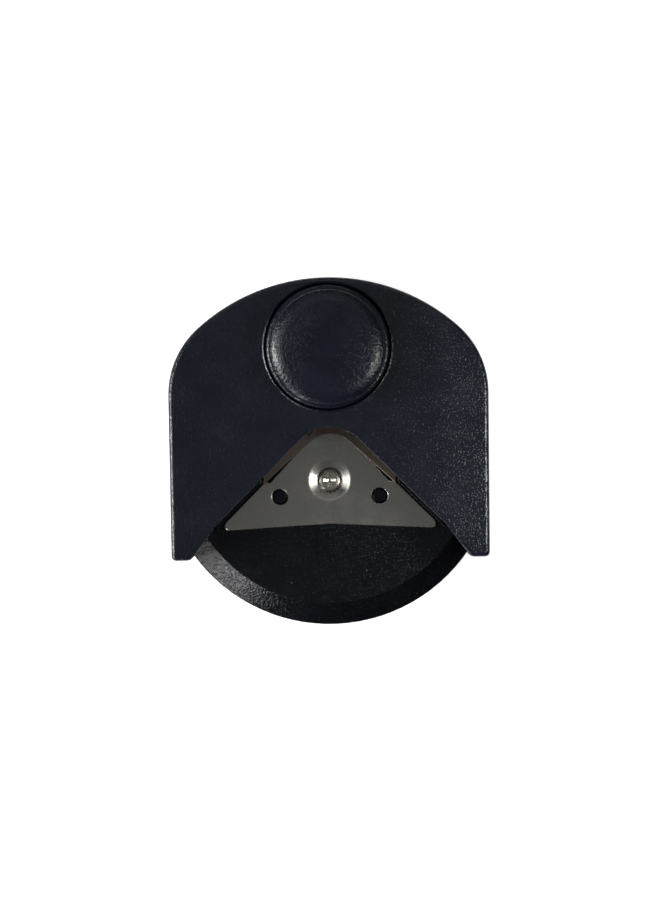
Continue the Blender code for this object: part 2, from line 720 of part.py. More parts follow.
def make_die_screw():
    """Low domed head with a cross recess, on the dimple's floor."""
    seat = DIE_HIGH - DIMPLE_DEPTH + PLATE_GAP / 2
    edge = seat + SCREW_HEAD_EDGE
    top = edge + SCREW_HEAD_CROWN
    tip = seat - SCREW_LENGTH
    profile = [
        (0, top),
        (SCREW_FACE_RADIUS, top - SCREW_FACE_DROP),
        (SCREW_HEAD_RADIUS, edge),
        (SCREW_HEAD_RADIUS, seat),
        (SCREW_SHANK_RADIUS, seat),
        (SCREW_SHANK_RADIUS, tip + SCREW_SHANK_RADIUS),
        (0, tip),
    ]
    shape = turned(profile, (0, DIMPLE_Y), SCREW_STEPS * 2)
    made = finish("die_screw", shape, bright_steel("screw steel"))
    combine(made, "DIFFERENCE", [cross((0, DIMPLE_Y), top - CROSS_DEPTH, top + OVERRUN)])
    return made


def plate_back(start):
    """The right side and back corner that spacer and stripper plate share."""
    corner = (PLATE_HALF_WIDTH, PLATE_BACK_Y)
    return [start] + rounded(start, corner, (0, PLATE_BACK_Y), PLATE_CORNER_RADIUS)


def cut_edge(gap):
    """The right half of the rounded edge that is cut, from its apex, moved back by gap."""
    centre_y = STOP_REACH - CORNER_RADIUS * DIAGONAL
    return arc((0, centre_y), CORNER_RADIUS + gap, 90, 45, ARC_STEPS // 2)


def blade_front(half_width, gap):
    """The blade's hollow front, from the middle to its right end, moved back by gap."""
    reach = STOP_REACH + gap * DIAGONAL
    return cut_edge(gap) + [(half_width, reach - half_width)]


def screw_holes(low, high):
    holes = []
    for side in (-1, 1):
        spot = (side * GUIDE_SCREW_X, GUIDE_SCREW_Y)
        holes.append(rod(SCREW_SHANK_RADIUS + SLIDE_GAP, low - OVERRUN, high + OVERRUN, spot))
    return holes


def make_spacer():
    """U-shaped plate as thick as die plate and paper slot together: its V edges stop the paper."""
    window = BLADE_HALF_WIDTH + CHUTE_MARGIN
    window_back = BLADE_BACK_Y + CHUTE_MARGIN
    right = [(0, window_back), (window, window_back), (window, STOP_REACH - window)]
    right += plate_back((PLATE_HALF_WIDTH, STOP_REACH - PLATE_HALF_WIDTH))
    made = finish(
        "spacer_plate",
        prism(mirrored(right), DIE_LOW, SPACER_HIGH),
        grey_steel("spacer steel"),
    )
    combine(made, "DIFFERENCE", screw_holes(DIE_LOW, SPACER_HIGH))
    return made


def make_stripper():
    """Plate with lips that hold the paper flat, and a window that guides the blade."""
    apex_y = STOP_REACH - LIP_APEX_WIDTH - LIP_APEX_RADIUS * DIAGONAL
    right = arc((0, apex_y), LIP_APEX_RADIUS, 90, 45, ARC_STEPS // 2)
    right += plate_back((PLATE_HALF_WIDTH, STOP_REACH - LIP_END_WIDTH - PLATE_HALF_WIDTH))
    made = finish(
        "stripper_plate",
        prism(mirrored(right), STRIPPER_LOW, STRIPPER_HIGH),
        grey_steel("stripper steel"),
    )
    half = BLADE_HALF_WIDTH + CUT_GAP
    back = BLADE_BACK_Y + CUT_GAP
    window = mirrored(blade_front(half, 0) + [(half, back)])
    opening = prism(window, STRIPPER_LOW - OVERRUN, STRIPPER_HIGH + OVERRUN)
    combine(made, "DIFFERENCE", [opening] + screw_holes(STRIPPER_LOW, STRIPPER_HIGH))
    return made


def make_guide_screws():
    seat = STRIPPER_HIGH + PLATE_GAP
    length = seat - BOSS_LOW - GAP
    for name, side in (("left", -1), ("right", 1)):
        screw(
            f"guide_screw_{name}",
            (side * GUIDE_SCREW_X, GUIDE_SCREW_Y),
            GUIDE_HEAD_RADIUS,
            GUIDE_HEAD_HEIGHT,
            SCREW_SHANK_RADIUS,
            length,
            seat,
            False,
            bright_steel(f"guide screw {name} steel"),
        )


def make_blade():
    """Hardened punch: hollow front edge, straight back, a cross hole for its pin."""
    right = blade_front(BLADE_HALF_WIDTH, CUT_GAP) + [(BLADE_HALF_WIDTH, BLADE_BACK_Y)]
    high = CARRIER_LOW + BLADE_SEAT_DEPTH
    made = finish("punch_blade", prism(mirrored(right), BLADE_LOW, high), bright_steel("blade steel"))
    combine(made, "DIFFERENCE", [cross_rod(PIN_RADIUS + SLIDE_GAP, NOSE_HALF + OVERRUN)])
    move_origin(made, (0, BUTTON_Y, 0))
    return made


def cross_rod(radius, half_length):
    """A rod along X at the blade pin's place."""
    shape = rod(radius, -half_length, half_length, (0, 0))
    height = CARRIER_LOW + CARRIER_THICKNESS / 2
    for corner in shape.verts:
        x, y, z = corner.co
        corner.co = (z, PIN_Y + y, height - x)
    return shape


def make_blade_pin():
    made = finish("blade_pin", cross_rod(PIN_RADIUS, NOSE_HALF), bright_steel("pin steel"))
    move_origin(made, (0, BUTTON_Y, 0))
    return made


def make_carrier():
    """Moulded slide: a forked nose for the blade, a disc under the button, two arms on the pins."""
    nose = rounded_box(NOSE_HALF, CARRIER_FRONT_Y, BUTTON_Y, LEAST_RADIUS)
    made = finish(
        "punch_carrier",
        prism(nose, CARRIER_LOW, CARRIER_HIGH),
        material("carrier plastic", (0.55, 0.55, 0.53), 0.5, 0),
    )
    arms = rounded_box(
        CARRIER_ARM_X, BUTTON_Y - CARRIER_ARM_HALF, BUTTON_Y + CARRIER_ARM_HALF, CARRIER_ARM_RADIUS
    )
    centre = (0, BUTTON_Y)
    disc_radius = BUTTON_RADIUS - CARRIER_DISC_INSET
    disc = rod(disc_radius, CARRIER_LOW, CARRIER_HIGH, centre, ROUND_STEPS)
    fork = rounded_box(
        BLADE_HALF_WIDTH + GAP, CARRIER_FRONT_Y - OVERRUN, BLADE_BACK_Y + GAP, LEAST_RADIUS
    )
    low, high = CARRIER_LOW - OVERRUN, CARRIER_HIGH + OVERRUN
    cuts = [prism(fork, low, high), cross_rod(PIN_RADIUS + SLIDE_GAP, NOSE_HALF + OVERRUN)]
    cuts.append(rod(BUTTON_SCREW_RADIUS + SLIDE_GAP, low, high, centre))
    pocket_high = CARRIER_LOW + BUTTON_SCREW_HEAD_HEIGHT + POCKET_GAP
    cuts.append(rod(BUTTON_SCREW_HEAD_RADIUS + POCKET_GAP, low, pocket_high, centre))
    for side in (-1, 1):
        cuts.append(rod(GUIDE_PIN_RADIUS + SLIDE_GAP, low, high, (side * GUIDE_PIN_X, BUTTON_Y)))
    combine(made, "UNION", [prism(arms, CARRIER_LOW, CARRIER_HIGH), disc])
    combine(made, "DIFFERENCE", cuts)
    move_origin(made, (0, BUTTON_Y, 0))
    return made


def button_profile():
    """Half section of the hollow button: crown, shoulder, flange, skirt, inside and screw boss."""
    crown_radius = BUTTON_RADIUS - BUTTON_SHOULDER
    crown_edge = BUTTON_TOP - BUTTON_CROWN
    profile = []
    for step in range(SMALL_STEPS + 1):
        share = step / (SMALL_STEPS + 1)
        profile.append((crown_radius * share, BUTTON_TOP - BUTTON_CROWN * share**2))
    shoulder_steps = SMALL_STEPS * 2
    for step in range(shoulder_steps + 1):
        angle = math.pi / 2 * step / shoulder_steps
        radius = crown_radius + BUTTON_SHOULDER * math.sin(angle)
        profile.append((radius, crown_edge - BUTTON_SHOULDER * (1 - math.cos(angle))))
    flange_top = COVER_TOP + BUTTON_FLANGE_RISE
    inner = BUTTON_FLANGE_RADIUS - BUTTON_WALL
    ceiling = crown_edge - BUTTON_WALL - BUTTON_FLANGE_EDGE
    bore = BUTTON_SCREW_RADIUS + SLIDE_GAP
    bore_top = CARRIER_LOW + BUTTON_SCREW_HEAD_HEIGHT + BUTTON_SCREW_LENGTH + GAP
    profile += [
        (BUTTON_RADIUS, flange_top),
        (BUTTON_FLANGE_RADIUS - BUTTON_FLANGE_EDGE, flange_top),
        (BUTTON_FLANGE_RADIUS, flange_top - BUTTON_FLANGE_EDGE),
        (BUTTON_FLANGE_RADIUS, SLEEVE_LOW),
        (inner, SLEEVE_LOW),
        (BUTTON_RADIUS - BUTTON_WALL, flange_top - BUTTON_WALL),
        (BUTTON_RADIUS - BUTTON_WALL, ceiling - BUTTON_WALL),
        (BUTTON_RADIUS - BUTTON_WALL * 2, ceiling),
        (BUTTON_BOSS_RADIUS, ceiling),
        (BUTTON_BOSS_RADIUS, SLEEVE_LOW),
        (bore, SLEEVE_LOW),
        (bore, bore_top),
        (0, bore_top),
    ]
    return profile


def make_button():
    shape = turned(button_profile(), (0, BUTTON_Y), ROUND_STEPS)
    made = finish("push_button", shape, black_plastic("button plastic"))
    move_origin(made, (0, BUTTON_Y, 0))
    return made


def make_button_screw():
    made = screw(
        "button_screw",
        (0, BUTTON_Y),
        BUTTON_SCREW_HEAD_RADIUS,
        BUTTON_SCREW_HEAD_HEIGHT,
        BUTTON_SCREW_RADIUS,
        BUTTON_SCREW_LENGTH,
        CARRIER_LOW + BUTTON_SCREW_HEAD_HEIGHT,
        True,
        bright_steel("button screw steel"),
    )
    move_origin(made, (0, BUTTON_Y, 0))
    return made


def make_guide_pins():
    low = TABLE_HEIGHT - PIN_SOCKET_DEPTH + GAP
    for name, side in (("left", -1), ("right", 1)):
        shape = rod(GUIDE_PIN_RADIUS, low, ROOF_LOW - GAP, (side * GUIDE_PIN_X, BUTTON_Y))
        finish(f"guide_pin_{name}", shape, bright_steel(f"guide pin {name} steel"))


def make_return_springs():
    """Open-coiled wire helices round the guide pins, from the deck to the carrier's arms."""
    low = TABLE_HEIGHT + GAP + SPRING_WIRE_RADIUS
    high = CARRIER_LOW - GAP - SPRING_WIRE_RADIUS
    pitch = (high - low) / SPRING_TURNS
    print(f"return spring: least gap between turns {pitch - 2 * SPRING_WIRE_RADIUS:.5f} m")
    count = SPRING_TURNS * SPRING_TURN_STEPS
    for name, side in (("left", -1), ("right", 1)):
        curve = bpy.data.curves.new(f"return_spring_{name}", "CURVE")
        curve.dimensions = "3D"
        curve.bevel_depth = SPRING_WIRE_RADIUS
        curve.bevel_resolution = 1
        curve.use_fill_caps = True
        line = curve.splines.new("POLY")
        line.points.add(count)
        for step, point in enumerate(line.points):
            angle = side * 2 * math.pi * step / SPRING_TURN_STEPS
            x = side * GUIDE_PIN_X + SPRING_RADIUS * math.cos(angle)
            y = BUTTON_Y + SPRING_RADIUS * math.sin(angle)
            point.co = (x, y, low + (high - low) * step / count, 1)
        curve.materials.append(bright_steel(f"return spring {name} steel"))
        made = bpy.data.objects.new(f"return_spring_{name}", curve)
        bpy.context.scene.collection.objects.link(made)


def make_housing_screws():
    for name, x, y in housing_places():
        screw(
            f"housing_screw_{name}",
            (x, y),
            HOUSING_HEAD_RADIUS,
            HOUSING_HEAD_HEIGHT,
            HOUSING_SCREW_RADIUS,
            HOUSING_SCREW_LENGTH,
            DECK_LOW - GAP,
            True,
            bright_steel(f"housing screw {name} steel"),
        )


def make_tray():
    """Shallow tray that fills the base from below, with a tab through the base's back wall."""
    inset = BASE_WALL + GAP
    made = finish(
        "chip_tray",
        prism(base_outline(inset), TRAY_LIFT, TRAY_RIM),
        black_plastic("tray plastic"),
    )
    tab_back = BACK_Y - TAB_SHORT
    tab = rounded_box(TAB_HALF_WIDTH, BACK_Y - BASE_WALL - TRAY_WALL - BASE_INSET, tab_back, BASE_INSET)
    hollow = prism(base_outline(inset + TRAY_WALL), TRAY_LIFT + TRAY_FLOOR, TRAY_RIM + OVERRUN)
    combine(made, "UNION", [prism(tab, TRAY_LIFT, TRAY_LIFT + TRAY_FLOOR)])
    combine(made, "DIFFERENCE", [hollow])
    move_origin(made, (0, 0, TRAY_LIFT))
    return made


def main():
    for old in list(bpy.data.objects):
        bpy.data.objects.remove(old)
    make_base()
    make_cover()
    make_die_plate()
    make_die_screw()
    make_spacer()
    make_stripper()
    make_guide_screws()
    make_blade()
    make_blade_pin()
    make_carrier()
    make_button()
    make_button_screw()
    make_guide_pins()
    make_return_springs()
    make_housing_screws()
    make_tray()


main()
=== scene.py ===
# %% [markdown]
# # A corner rounder punch
# This small desk tool rounds the corners of paper and card. A black plastic housing holds a
# steel die plate, and a round button drives a hollow-edged blade past the plate's tip.
# The solids are already made, and this lesson dresses them: it rounds their edges, models the
# pieces that the eye rests on again in finer shape, and gives every surface its finish.
# Lengths are written in millimetres and turned into metres by the constant MM.

# %% Frame
import math

import bmesh
import bpy
from mathutils import Matrix, Vector
from mathutils.bvhtree import BVHTree


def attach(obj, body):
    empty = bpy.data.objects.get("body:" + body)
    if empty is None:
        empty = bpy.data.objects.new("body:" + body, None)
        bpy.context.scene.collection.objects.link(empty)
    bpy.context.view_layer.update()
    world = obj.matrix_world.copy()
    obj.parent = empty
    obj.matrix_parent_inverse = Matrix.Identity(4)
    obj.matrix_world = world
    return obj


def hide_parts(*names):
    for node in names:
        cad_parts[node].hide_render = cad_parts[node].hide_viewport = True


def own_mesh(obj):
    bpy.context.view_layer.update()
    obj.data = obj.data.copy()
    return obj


MM = 0.001
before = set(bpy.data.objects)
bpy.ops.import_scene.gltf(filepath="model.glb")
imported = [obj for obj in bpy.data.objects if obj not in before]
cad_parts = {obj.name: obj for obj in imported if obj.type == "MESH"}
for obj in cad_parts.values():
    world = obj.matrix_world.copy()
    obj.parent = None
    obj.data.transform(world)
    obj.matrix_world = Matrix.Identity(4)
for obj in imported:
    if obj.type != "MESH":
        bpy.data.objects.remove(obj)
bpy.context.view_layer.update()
print("nodes:", len(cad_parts))

# %% [markdown]
# ## Camera
# The tool lies on a white table and is seen from straight above. A long lens far away shows
# parallel edges as parallel, so the walls of the housing stay hidden under its top edge.
# A perspective camera is used, and not an orthographic one, so that it can also look around.

# %% Camera
SENSOR_MM = 36
IMAGE_HEIGHT_PX = 900
PIXELS_PER_MM = 5.945
CAMERA_DISTANCE = 3.0
VIEW_PLANE = 17 * MM
OBJECT_TURN_DEG = 0.84
CENTRE_OFFSET = Vector((0.136, 0.17, 0)) * MM

view_height = IMAGE_HEIGHT_PX / PIXELS_PER_MM * MM
camera_data = bpy.data.cameras.new("camera")
camera_data.sensor_width = SENSOR_MM
camera_data.lens = SENSOR_MM * CAMERA_DISTANCE / view_height
camera = bpy.data.objects.new("camera", camera_data)
camera.location = CENTRE_OFFSET + Vector((0, 0, VIEW_PLANE + CAMERA_DISTANCE))
camera.rotation_euler = (0, 0, -math.radians(OBJECT_TURN_DEG))
bpy.context.scene.collection.objects.link(camera)
bpy.context.scene.camera = camera
print(f"lens {camera_data.lens:.0f} mm")

# %% [markdown]
# ## Node graphs
# A material in Blender is a graph of nodes. This helper makes a node, sets its values and
# links its sockets in one call, which keeps the recipes below short enough to read.


# %% Node helper
class Graph:
    """Adds linked nodes to a node tree."""

    def __init__(self, tree):
        self.tree = tree

    def add(self, kind, values=None, **settings):
        """A new node with its settings, and its sockets set to values or linked to sockets."""
        node = self.tree.nodes.new(kind)
        for name, setting in settings.items():
            setattr(node, name, setting)
        for name, value in (values or {}).items():
            socket = node.inputs[name]
            if isinstance(value, bpy.types.NodeSocket):
                self.tree.links.new(value, socket)
            else:
                socket.default_value = value
        return node

    def math(self, operation, first, second=0.0):
        """One arithmetic step."""
        node = self.add("ShaderNodeMath", {0: first, 1: second}, operation=operation)
        return node.outputs[0]

    def stretch(self, value, low, high, to_low=0.0, to_high=1.0):
        """Maps low..high onto to_low..to_high."""
        inputs = {"From Min": low, "From Max": high, "To Min": to_low, "To Max": to_high}
        node = self.add("ShaderNodeMapRange", {"Value": value, **inputs})
        return node.outputs["Result"]

    def blend(self, share, first, second):
        """Mixes two colours by a share."""
        node = self.add("ShaderNodeMix", data_type="RGBA")
        for place, value in ((0, share), (6, first), (7, second)):
            if isinstance(value, bpy.types.NodeSocket):
                self.tree.links.new(value, node.inputs[place])
            else:
                node.inputs[place].default_value = value
        return node.outputs[2]


def new_group(name, inputs, outputs):
    """A shader node group with named sockets, and its graph, entry and exit."""
    tree = bpy.data.node_groups.new(name, "ShaderNodeTree")
    for label, kind in inputs:
        tree.interface.new_socket(label, in_out="INPUT", socket_type=kind)
    for label, kind in outputs:
        tree.interface.new_socket(label, in_out="OUTPUT", socket_type=kind)
    graph = Graph(tree)
    entry = graph.add("NodeGroupInput").outputs
    leave = graph.add("NodeGroupOutput").inputs
    return tree, graph, entry, leave


FLOAT, VECTOR = "NodeSocketFloat", "NodeSocketVector"
print("node helper ready")

# %% [markdown]
# ## Moulded grain
# The black plastic has the fine leathery grain that spark erosion leaves in a steel mould:
# flat plateaus of about a third of a millimetre, parted by narrow valleys, with a finer
# roughness on top. Two Voronoi patterns and a noise give its height, and a scatter of small
# flat cells gives the glints that such a surface throws back.

# %% Grain group
WARP_REACH = 0.22
FINE_RATIO, FINE_SHARE = 2.6, 0.35
PLATEAU_EDGE, VALLEY_EDGE = 0.1, 0.62
GLINT_RATIO, GLINT_THRESHOLD = 0.8, 0.86
GLINT_CORE, GLINT_EDGE = 0.12, 0.3
MOTTLE_PER_MM = 0.16

grain_group, g, entry, leave = new_group(
    "moulded grain",
    [("Position", VECTOR), ("Cells per mm", FLOAT)],
    [("Height", FLOAT), ("Glint", FLOAT), ("Mottle", FLOAT)],
)
scale = entry["Cells per mm"]
warp = g.add("ShaderNodeTexNoise", {"Vector": entry["Position"], "Scale": scale, "Detail": 2.0})
offset = g.add(
    "ShaderNodeVectorMath",
    {0: warp.outputs["Color"], 1: (WARP_REACH, WARP_REACH, WARP_REACH)},
    operation="MULTIPLY",
)
place = g.add(
    "ShaderNodeVectorMath",
    {0: entry["Position"], 1: offset.outputs[0]},
    operation="ADD",
)
cells = g.add(
    "ShaderNodeTexVoronoi",
    {"Vector": place.outputs[0], "Scale": scale, "Smoothness": 0.5},
    feature="SMOOTH_F1",
)
fine_scale = g.math("MULTIPLY", scale, FINE_RATIO)
fine = g.add(
    "ShaderNodeTexNoise",
    {"Vector": entry["Position"], "Scale": fine_scale, "Detail": 3.0, "Roughness": 0.6},
)
plateau = g.stretch(cells.outputs["Distance"], PLATEAU_EDGE, VALLEY_EDGE, 1.0, 0.0)
rough_top = g.math("MULTIPLY", fine.outputs["Fac"], FINE_SHARE)
g.tree.links.new(g.math("ADD", plateau, rough_top), leave["Height"])
scatter = g.add(
    "ShaderNodeTexVoronoi",
    {"Vector": place.outputs[0], "Scale": g.math("MULTIPLY", scale, GLINT_RATIO)},
)
lucky = g.add("ShaderNodeSeparateColor", {"Color": scatter.outputs["Color"]})
chosen = g.math("GREATER_THAN", lucky.outputs[0], GLINT_THRESHOLD)
near = g.stretch(scatter.outputs["Distance"], GLINT_CORE, GLINT_EDGE, 1.0, 0.0)
g.tree.links.new(g.math("MULTIPLY", chosen, near), leave["Glint"])
slow = g.add(
    "ShaderNodeTexNoise",
    {"Vector": entry["Position"], "Scale": MOTTLE_PER_MM, "Detail": 4.0, "Roughness": 0.6},
)
g.tree.links.new(slow.outputs["Fac"], leave["Mottle"])
print("group:", grain_group.name)

# %% [markdown]
# ## Handling marks
# A tool that has been in a drawer carries a little dust and a few hair-fine scratches. They
# are so faint that they only break the evenness of the black. Thin lines come from a wave of
# noise that is stretched a long way in one direction.

# %% Handling group
SPECKS_PER_MM = 0.55
SMALLEST_SPECK, LARGEST_SPECK = 0.01, 0.075
SPECKS_ABOVE = 0.55
SCRATCH_LEVEL, SCRATCH_WIDTH = 0.47, 0.0025
SCRATCHES_ABOVE = 0.53

handling_group, g, entry, leave = new_group(
    "handling marks",
    [("Position", VECTOR)],
    [("Dust", FLOAT), ("Scratch", FLOAT)],
)
specks = g.add("ShaderNodeTexVoronoi", {"Vector": entry["Position"], "Scale": SPECKS_PER_MM})
speck_size = g.add("ShaderNodeSeparateColor", {"Color": specks.outputs["Color"]})
reach = g.stretch(speck_size.outputs[1], 0.0, 1.0, SMALLEST_SPECK, LARGEST_SPECK)
is_speck = g.math("LESS_THAN", specks.outputs["Distance"], reach)
thin_out = g.math("GREATER_THAN", speck_size.outputs[2], SPECKS_ABOVE)
g.tree.links.new(g.math("MULTIPLY", is_speck, thin_out), leave["Dust"])
lie = g.add(
    "ShaderNodeMapping",
    {"Vector": entry["Position"], "Rotation": (0.2, 0.1, 0.9), "Scale": (0.11, 1.6, 0.6)},
)
streak = g.add(
    "ShaderNodeTexNoise",
    {"Vector": lie.outputs[0], "Scale": 1.0, "Detail": 2.0, "Roughness": 0.5},
)
thin_line = g.math("COMPARE", streak.outputs["Fac"], SCRATCH_LEVEL)
thin_line.node.inputs[2].default_value = SCRATCH_WIDTH
gate = g.add("ShaderNodeTexNoise", {"Vector": entry["Position"], "Scale": 0.09, "Detail": 1.0})
where = g.math("GREATER_THAN", gate.outputs["Fac"], SCRATCHES_ABOVE)
g.tree.links.new(g.math("MULTIPLY", thin_line, where), leave["Scratch"])
print("group:", handling_group.name)

# %% [markdown]
# ## Rolled and stamped steel
# Sheet steel keeps fine lines from the rolling mill, and tumbling after stamping clouds them.
# The same group serves the die plate, the stripper's lip, the blade and the screws: the
# stretched noise is the rolling, and the slow noise is the tarnish.

# %% Steel group
LINES_PER_MM = 7.0
CLOUDS_PER_MM = 0.33
PITS_PER_MM = 3.4
PIT_EDGE, PIT_CORE = 0.66, 0.74
PEEN_PER_MM = 5.0

steel_group, g, entry, leave = new_group(
    "worked steel",
    [("Position", VECTOR), ("Line length", FLOAT)],
    [("Height", FLOAT), ("Cloud", FLOAT), ("Lines", FLOAT), ("Pit", FLOAT)],
)
squeeze = g.add(
    "ShaderNodeCombineXYZ",
    {"X": entry["Line length"], "Y": LINES_PER_MM, "Z": LINES_PER_MM},
)
laid = g.add(
    "ShaderNodeVectorMath",
    {0: entry["Position"], 1: squeeze.outputs[0]},
    operation="MULTIPLY",
)
lines = g.add(
    "ShaderNodeTexNoise",
    {"Vector": laid.outputs[0], "Scale": 1.0, "Detail": 3.0, "Roughness": 0.65},
)
cloud = g.add(
    "ShaderNodeTexNoise",
    {"Vector": entry["Position"], "Scale": CLOUDS_PER_MM, "Detail": 5.0, "Roughness": 0.62},
)
pits = g.add(
    "ShaderNodeTexNoise",
    {"Vector": entry["Position"], "Scale": PITS_PER_MM, "Detail": 2.0, "Roughness": 0.5},
)
pit = g.stretch(pits.outputs["Fac"], PIT_EDGE, PIT_CORE)
peen = g.add(
    "ShaderNodeTexNoise",
    {"Vector": entry["Position"], "Scale": PEEN_PER_MM, "Detail": 2.0},
)
relief = g.math("ADD", lines.outputs["Fac"], peen.outputs["Fac"])
g.tree.links.new(g.math("SUBTRACT", relief, pit), leave["Height"])
g.tree.links.new(cloud.outputs["Fac"], leave["Cloud"])
g.tree.links.new(lines.outputs["Fac"], leave["Lines"])
g.tree.links.new(pit, leave["Pit"])
print("group:", steel_group.name)

# %% [markdown]
# ## Finishes
# Each finish is one Principled shader. A number that is the same all over is set on the
# shader itself, and only what varies over the surface comes from the groups. Object
# coordinates are in metres here, so a Mapping node turns them into millimetres first.

# %% Finish helpers
DARKER, LIGHTER = 0.72, 1.3
DUST_COLOUR = (0.10, 0.105, 0.115, 1)
DUST_SHARE = 0.5
SCRATCH_COLOUR = (0.07, 0.075, 0.085, 1)
SCRATCH_SHARE = 0.12
GLINT_SMOOTHER = 0.16
PIT_COLOUR = (0.05, 0.045, 0.04, 1)
PIT_SHARE = 0.35
LINE_SHARE, LINE_TONE = 0.16, 0.8
TARNISH_SHARE = 0.6
CLOUD_LOW, CLOUD_HIGH = 0.36, 0.66
NOISE_LOW, NOISE_HIGH = 0.3, 0.7
SMOOTHER, PLASTIC_ROUGHER, STEEL_ROUGHER = 0.05, 0.06, 0.08


def start_material(name):
    """A new material, its graph, its shader and the position in millimetres."""
    material = bpy.data.materials.new(name)
    material.use_nodes = True
    graph = Graph(material.node_tree)
    shader = material.node_tree.nodes["Principled BSDF"]
    position = graph.add("ShaderNodeTexCoord").outputs["Object"]
    in_mm = (1 / MM, 1 / MM, 1 / MM)
    mapping = graph.add("ShaderNodeMapping", {"Vector": position, "Scale": in_mm})
    return material, graph, shader, mapping.outputs[0]


def use(graph, group, **values):
    """Places a node group in a graph."""
    node = graph.add("ShaderNodeGroup", node_tree=group)
    for name, value in values.items():
        socket = node.inputs[name.replace("_", " ")]
        if isinstance(value, bpy.types.NodeSocket):
            graph.tree.links.new(value, socket)
        else:
            socket.default_value = value
    return node.outputs


def grained_plastic(name, colour, roughness, cells, depth, shine=0.5):
    """Plastic from a spark-eroded mould, with cells per mm and the grain's depth in mm."""
    material, graph, shader, position = start_material(name)
    shader.inputs["Specular IOR Level"].default_value = shine
    grain = use(graph, grain_group, Position=position, Cells_per_mm=cells)
    marks = use(graph, handling_group, Position=position)
    dark = (*(DARKER * part for part in colour), 1)
    light = (*(LIGHTER * part for part in colour), 1)
    tone = graph.blend(grain["Mottle"], dark, light)
    dusty = graph.math("MULTIPLY", marks["Dust"], DUST_SHARE)
    tone = graph.blend(dusty, tone, DUST_COLOUR)
    scratched = graph.math("MULTIPLY", marks["Scratch"], SCRATCH_SHARE)
    tone = graph.blend(scratched, tone, SCRATCH_COLOUR)
    smoothest, roughest = roughness - SMOOTHER, roughness + PLASTIC_ROUGHER
    uneven = graph.stretch(grain["Mottle"], NOISE_LOW, NOISE_HIGH, smoothest, roughest)
    smooth_spot = graph.math("MULTIPLY", grain["Glint"], GLINT_SMOOTHER)
    bump = graph.add("ShaderNodeBump", {"Height": grain["Height"], "Distance": depth * MM})
    graph.tree.links.new(tone, shader.inputs["Base Color"])
    graph.tree.links.new(graph.math("SUBTRACT", uneven, smooth_spot), shader.inputs["Roughness"])
    graph.tree.links.new(bump.outputs[0], shader.inputs["Normal"])
    return material


def steel(name, colour, tarnish, roughness, line_length, depth):
    """Worked steel, clouded from its bright colour to its tarnish. The depth is in mm."""
    material, graph, shader, position = start_material(name)
    work = use(graph, steel_group, Position=position, Line_length=line_length)
    shader.inputs["Metallic"].default_value = 1
    clouded = graph.stretch(work["Cloud"], CLOUD_LOW, CLOUD_HIGH, 0.0, TARNISH_SHARE)
    tone = graph.blend(clouded, (*colour, 1), (*tarnish, 1))
    lined = graph.stretch(work["Lines"], NOISE_LOW, NOISE_HIGH, 0.0, LINE_SHARE)
    tone = graph.blend(lined, tone, (*(LINE_TONE * part for part in colour), 1))
    pitted = graph.math("MULTIPLY", work["Pit"], PIT_SHARE)
    tone = graph.blend(pitted, tone, PIT_COLOUR)
    smoothest, roughest = roughness - SMOOTHER, roughness + STEEL_ROUGHER
    uneven = graph.stretch(work["Cloud"], NOISE_LOW, NOISE_HIGH, smoothest, roughest)
    bump = graph.add("ShaderNodeBump", {"Height": work["Height"], "Distance": depth * MM})
    graph.tree.links.new(tone, shader.inputs["Base Color"])
    graph.tree.links.new(uneven, shader.inputs["Roughness"])
    graph.tree.links.new(bump.outputs[0], shader.inputs["Normal"])
    return material


# %% [markdown]
# The black plastics are slightly blue, and the base is a shade darker than the cover. The plates
# are grey.
# The stripper's lip is given a dark brown steel, far darker than the plate's. This is painted
# shade for the shade that falls on the lip under the cover's edge.

# %% Finishes
cover_plastic = grained_plastic("cover plastic", (0.0036, 0.0053, 0.0108), 0.21, 2.6, 0.037)
button_plastic = grained_plastic(
    "button plastic",
    (0.0047, 0.0064, 0.0122),
    roughness=0.20,
    cells=3.0,
    depth=0.036,
    shine=0.32,
)
base_plastic = grained_plastic(
    "base plastic",
    (0.0024, 0.0029, 0.0046),
    roughness=0.20,
    cells=2.7,
    depth=0.040,
    shine=0.24,
)
tray_plastic = grained_plastic("tray plastic", (0.0060, 0.0060, 0.0070), 0.40, 3.4, 0.010)
carrier_plastic = grained_plastic("carrier plastic", (0.52, 0.52, 0.49), 0.45, 3.0, 0.006)
plate_steel = steel("plate steel", (0.41, 0.41, 0.38), (0.32, 0.305, 0.275), 0.25, 0.7, 0.0016)
# Painted shade: the lip's steel gets a dark brown colour and a darker tarnish, standing for the
# shade under the cover's edge.
lip_steel_painted_shade = steel("lip steel painted shade", (0.17, 0.142, 0.122), (0.09, 0.066, 0.052), 0.42, 0.9, 0.0016)
blade_steel = steel("blade steel", (0.50, 0.49, 0.47), (0.36, 0.34, 0.32), 0.24, 0.4, 0.0010)
screw_steel = steel("screw steel", (0.54, 0.51, 0.46), (0.27, 0.235, 0.19), 0.23, 1.6, 0.0090)
spring_steel = steel("spring steel", (0.42, 0.42, 0.42), (0.28, 0.27, 0.26), 0.28, 2.0, 0.0008)
print("finishes:", len(bpy.data.materials))

# %% [markdown]
# ## Rounded copies
# No moulded or stamped edge is perfectly sharp, and the thin line of light along an edge is
# what makes a surface look solid. The node's triangles are merged, flat neighbours are
# dissolved into whole faces, and the edges that are still sharp get a narrow bevel. The
# weighted normals keep the large faces flat right up to that bevel.

# %% Rounded copy helper
MERGE = 0.001 * MM
FLAT_DEG = 0.5
SHARP_DEG = 24
BEVEL_STEP_DEG = 40


def sharp_edges(shape, limit=SHARP_DEG):
    """The edges where two faces meet at more than the limit, in degrees."""
    paired = [edge for edge in shape.edges if len(edge.link_faces) == 2]
    return [edge for edge in paired if edge.calc_face_angle() > math.radians(limit)]


